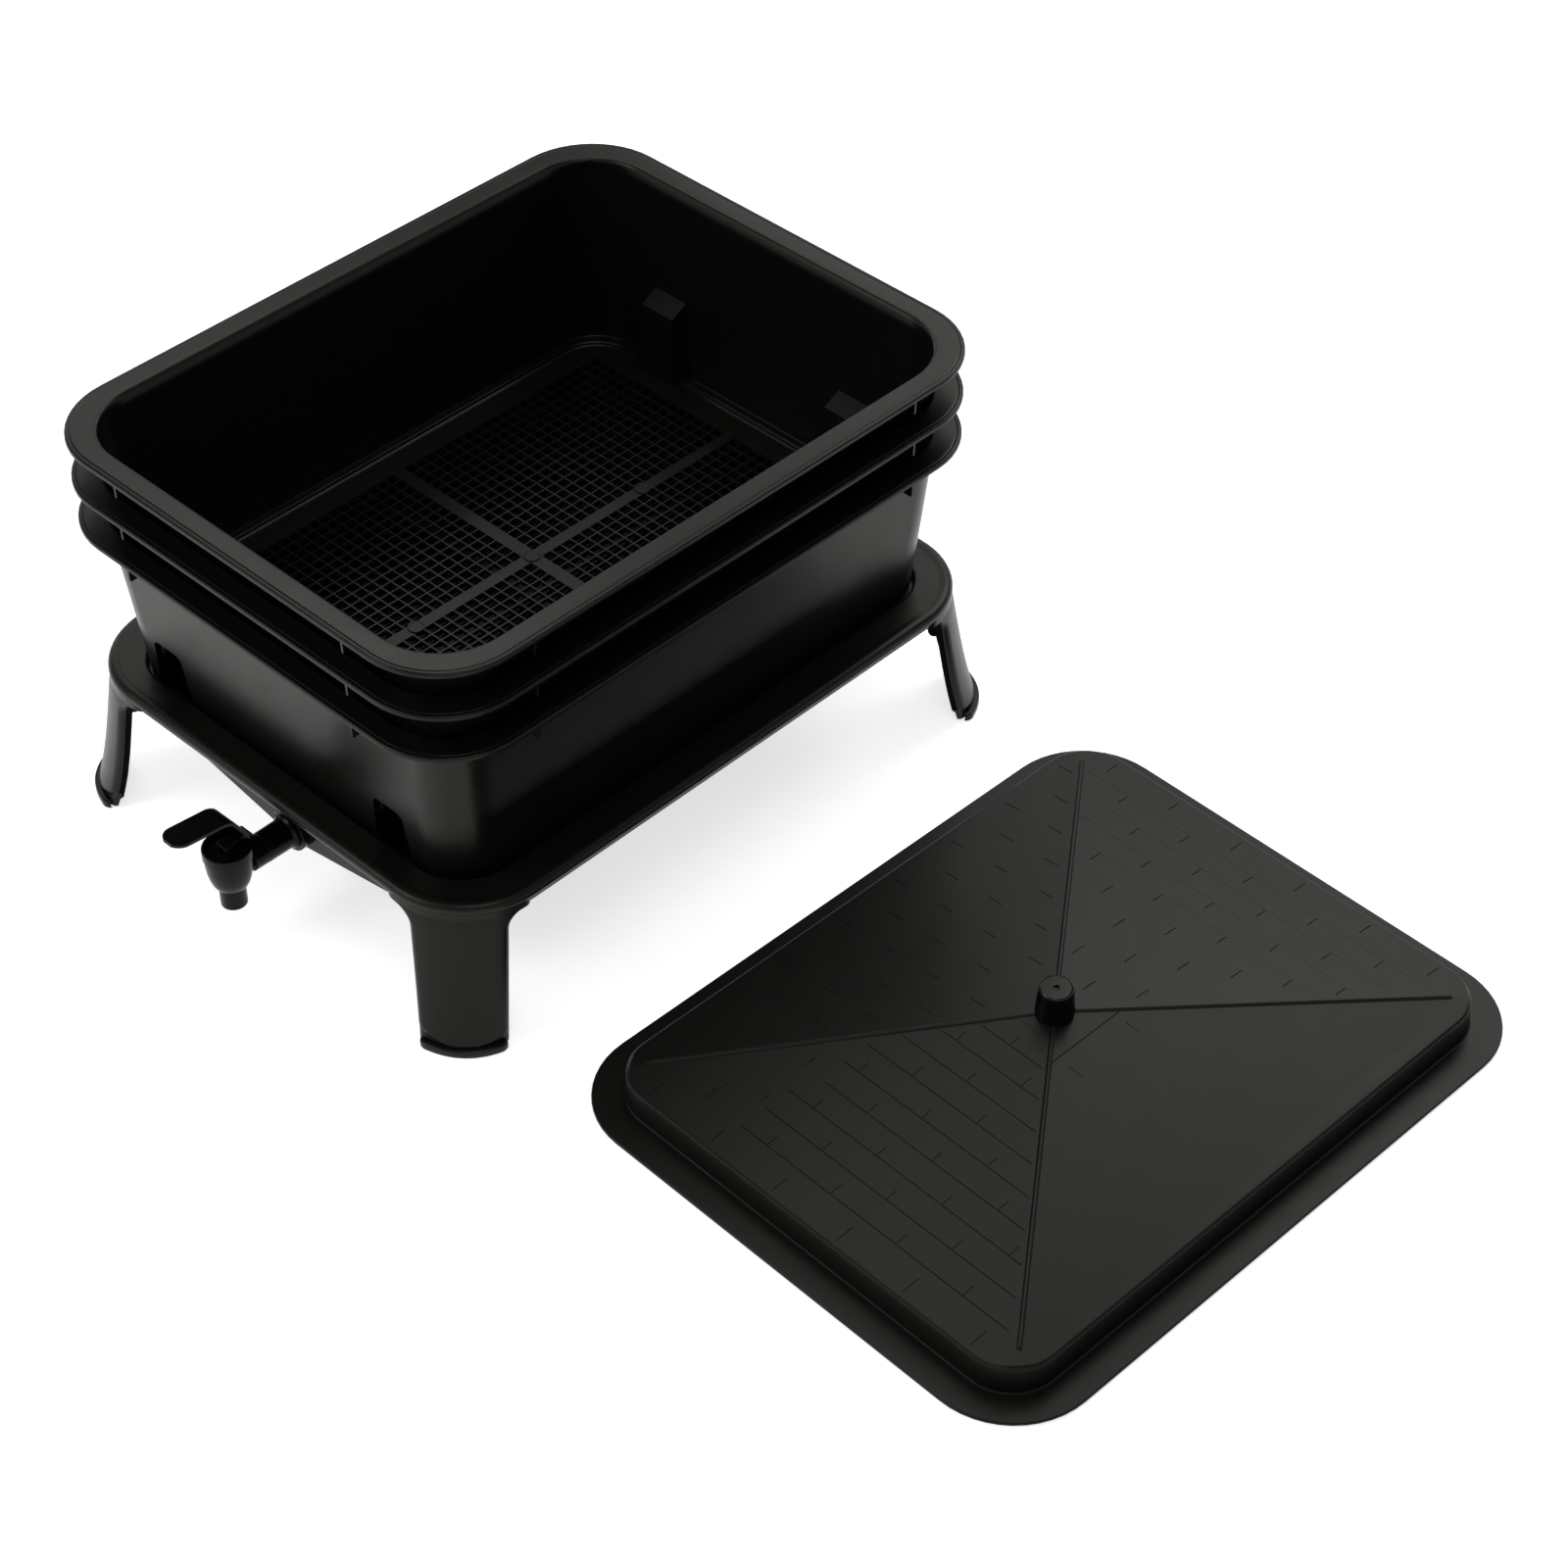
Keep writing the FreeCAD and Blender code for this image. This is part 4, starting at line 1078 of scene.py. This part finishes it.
# the wedge over the lever's pin: its side outline, hollow over the stem, and its width
WEDGE_OUTLINE = [
    (-325.4, 96.0), (-323.9, 96.0), (-322.6, 97.3), (-318.4, 97.3), (-317.1, 96.0), (-305.2, 96.0),
    (-305.2, 101.2), (-305.9, 102.0), (-307.0, 102.1), (-325.6, 97.3),
]
WEDGE_WIDTH = 12.8
WEDGE_ROUND = 0.5

# the lever's web: the blade's edge that it hangs from, and its foot round the bonnet, in degrees from X
WEB_CREST = [
    Vector((TAP_X + 13.4, 11.6, 104.5)),
    Vector((TAP_X + 5.0, 11.6, 121.5)),
    Vector((TAP_X - 9.0, 11.6, 127.6)),
]
WEB_FOOT_Z = 96.0
WEB_FOOT_RADIUS = 18.2
WEB_START = 26
WEB_SWEEP = 64
WEB_STEPS = 10
WEB_THICKNESS = 1.5


def make_tap():
    axis = Matrix.Translation((TAP_X, 0, 0))
    upright = bmesh.new()
    turned(upright, UPRIGHT_PROFILE, closed=True)
    upright.transform(axis)
    dress(to_object("tap_upright", upright, STACK), "base", "tap_plastic", tap_plastic, "tap_body")

    barrel = bmesh.new()
    turned(barrel, BARREL_PROFILE)
    barrel.transform(Matrix.Translation((TAP_X, 0, BARREL_Z)) @ Matrix.Rotation(math.radians(90), 4, "Y"))
    dress(to_object("tap_barrel", barrel, STACK), "base", "tap_plastic", tap_plastic)

    bonnet = bmesh.new()
    turned(bonnet, BONNET_PROFILE, sides=64, closed=True)
    bonnet.transform(axis)
    dress(to_object("tap_cap", bonnet, STACK), "base", "tap_plastic", tap_plastic, "tap_bonnet")


def make_lever_cap():
    """The wedge that closes the fork over the lever's pin."""
    bm = bmesh.new()
    plate(bm, [Vector((x, 0, z)) for x, z in WEDGE_OUTLINE], (0, 1, 0), WEDGE_WIDTH)
    item = to_object("lever_cap", bm, STACK)
    edge = item.modifiers.new("edge", "BEVEL")
    edge.width = WEDGE_ROUND * MM
    edge.segments = 2
    edge.limit_method = "ANGLE"
    dress(item, "lever", "lever_plastic", lever_plastic)


def make_lever_web():
    """The curved web that closes the blade's far side down towards the bonnet's rim."""
    start, middle, end = WEB_CREST
    rows = []
    for step in range(WEB_STEPS + 1):
        share = step / WEB_STEPS
        angle = math.radians(WEB_START + WEB_SWEEP * share)
        outward = Vector((math.cos(angle), math.sin(angle), 0))
        low = Vector((TAP_X, 0, WEB_FOOT_Z)) + outward * WEB_FOOT_RADIUS
        high = start.lerp(middle, share).lerp(middle.lerp(end, share), share)
        rows.append([low, high, high - Vector((0, WEB_THICKNESS, 0)), low - outward * WEB_THICKNESS])
    bm = bmesh.new()
    loft(bm, rows, caps=True)
    dress(to_object("lever_web", bm, STACK), "lever", "lever_plastic", lever_plastic)


# ------------------------------------------------- solids that show as they are

WELD = 0.00001
FLAT_ANGLE = 1.5
ROUND_ANGLE = 28.0

# node: how far its edges are rounded, and its material
SOFTENED = {
    "collector_tray": (0.5, stand_plastic),
    "tap_lever": (0.7, lever_plastic),
    "tap_stem": (0.3, tap_plastic),
    "tap_seat_cup": (0.2, seal_rubber),
    "lever_pin": (0.2, fixing_steel),
    "outer_gasket": (0.3, seal_rubber),
    "inner_gasket": (0.3, seal_rubber),
    "lock_nut": (0.5, tap_plastic),
    "knob_screw": (0.2, fixing_steel),
    "knob_washer": (0.2, fixing_steel),
}


def soften(node, width, material):
    """Round a solid's edges a little and give it its finish."""
    item = nodes[node]
    merge = item.modifiers.new("weld", "WELD")
    merge.merge_threshold = WELD
    flat = item.modifiers.new("flat", "DECIMATE")
    flat.decimate_type = "DISSOLVE"
    flat.angle_limit = math.radians(FLAT_ANGLE)
    round_off = item.modifiers.new("round", "BEVEL")
    round_off.width = width * MM
    round_off.segments = 2
    round_off.limit_method = "ANGLE"
    round_off.angle_limit = math.radians(ROUND_ANGLE)
    round_off.harden_normals = False
    item.data.materials.clear()
    item.data.materials.append(material)


make_trays()
make_stand()
make_lid()
make_tap()
make_lever_cap()
make_lever_web()
for node_name, (round_width, finish) in SOFTENED.items():
    soften(node_name, round_width, finish)


# ------------------------------------------------------------------- studio

FLOOR_RADIUS = 14.0
WALL_HEIGHT = 5.0
STUDIO_SIDES = 96
PALE = (0.8, 0.8, 0.79, 1)
WHITE = (1, 1, 1, 1)
GLOW = 0.68
WORLD_STRENGTH = 0.3

LAMP_AIM = Vector((0.05, 0.0, 0.15))
LAMP_DISTANCE = 2.6
# name, angle from X, angle over the floor, width and power
LAMPS = (
    ("back_right", 10, 42, 1.2, 18.4),
    ("side", 150, 35, 1.2, 20.2),
    ("top", 45, 70, 1.2, 9.5),
    ("back_left", 66, 47, 0.8, 7.0),
    ("back", 38, 32, 0.8, 3.9),
    ("back_left_low", 78, 24, 1.0, 3.5),
    ("front", 225, 65, 1.2, 12.0),
)

CAMERA_SPOT = Vector((-1.3705, -1.3604, 1.8933))
CAMERA_AIM = Vector((0.12668, 0.08622, 0.0))
CAMERA_LENS = 79.815
CAMERA_SENSOR = 36.0


def make_studio():
    """A round pale floor that ends in a low pale wall, far from the object."""
    floor = bmesh.new()
    floor.faces.new([floor.verts.new(point) for point in circle(FLOOR_RADIUS, 0.0, STUDIO_SIDES)])
    wall = bmesh.new()
    loft(wall, [circle(FLOOR_RADIUS, z, STUDIO_SIDES) for z in (0.0, WALL_HEIGHT)])
    material = pale_material()
    for name, bm in (("floor", floor), ("backdrop", wall)):
        mesh = bpy.data.meshes.new(name)
        bm.to_mesh(mesh)
        bm.free()
        item = bpy.data.objects.new(name, mesh)
        bpy.context.scene.collection.objects.link(item)
        item.data.materials.append(material)


def larger(tree, first, second):
    node = tree.nodes.new("ShaderNodeMath")
    node.operation = "MAXIMUM"
    tree.links.new(first, node.inputs[0])
    tree.links.new(second, node.inputs[1])
    return node.outputs["Value"]


def pale_material():
    """A pale surface that the camera and reflections see as white, and that keeps the object's shadow."""
    material = bpy.data.materials.new("floor")
    material.use_nodes = True
    tree = material.node_tree
    tree.nodes.clear()
    out = tree.nodes.new("ShaderNodeOutputMaterial")
    matt = tree.nodes.new("ShaderNodeBsdfDiffuse")
    matt.inputs["Color"].default_value = PALE
    glow = tree.nodes.new("ShaderNodeEmission")
    glow.inputs["Color"].default_value = WHITE
    glow.inputs["Strength"].default_value = GLOW
    both = tree.nodes.new("ShaderNodeAddShader")
    tree.links.new(matt.outputs["BSDF"], both.inputs[0])
    tree.links.new(glow.outputs["Emission"], both.inputs[1])
    rays = tree.nodes.new("ShaderNodeLightPath").outputs
    either = larger(tree, rays["Is Camera Ray"], rays["Is Glossy Ray"])
    seen = tree.nodes.new("ShaderNodeMixShader")
    tree.links.new(larger(tree, either, rays["Is Transmission Ray"]), seen.inputs["Fac"])
    tree.links.new(matt.outputs["BSDF"], seen.inputs[1])
    tree.links.new(both.outputs["Shader"], seen.inputs[2])
    tree.links.new(seen.outputs["Shader"], out.inputs["Surface"])
    return material


def make_world():
    world = bpy.data.worlds.new("studio")
    bpy.context.scene.world = world
    world.use_nodes = True
    tree = world.node_tree
    tree.nodes.clear()
    out = tree.nodes.new("ShaderNodeOutputWorld")
    back = tree.nodes.new("ShaderNodeBackground")
    back.inputs["Color"].default_value = WHITE
    back.inputs["Strength"].default_value = WORLD_STRENGTH
    tree.links.new(back.outputs["Background"], out.inputs["Surface"])


def make_lamp(name, azimuth, elevation, size, power):
    """A square soft box that faces the object's middle from a fixed distance."""
    data = bpy.data.lights.new(name, "AREA")
    data.shape = "SQUARE"
    data.size = size
    data.energy = power
    lamp = bpy.data.objects.new(name, data)
    turn, rise = math.radians(azimuth), math.radians(elevation)
    away = Vector((math.cos(turn) * math.cos(rise), math.sin(turn) * math.cos(rise), math.sin(rise)))
    lamp.location = LAMP_AIM + LAMP_DISTANCE * away
    lamp.rotation_euler = (-away).to_track_quat("-Z", "Y").to_euler()
    bpy.context.scene.collection.objects.link(lamp)


def make_camera():
    data = bpy.data.cameras.new("camera")
    data.lens = CAMERA_LENS
    data.sensor_width = CAMERA_SENSOR
    data.dof.use_dof = False
    camera = bpy.data.objects.new("camera", data)
    camera.location = CAMERA_SPOT
    camera.rotation_euler = (CAMERA_AIM - CAMERA_SPOT).to_track_quat("-Z", "Y").to_euler()
    bpy.context.scene.collection.objects.link(camera)
    bpy.context.scene.camera = camera


make_studio()
make_world()
for lamp_values in LAMPS:
    make_lamp(*lamp_values)
make_camera()
bpy.context.scene.view_settings.view_transform = "Standard"
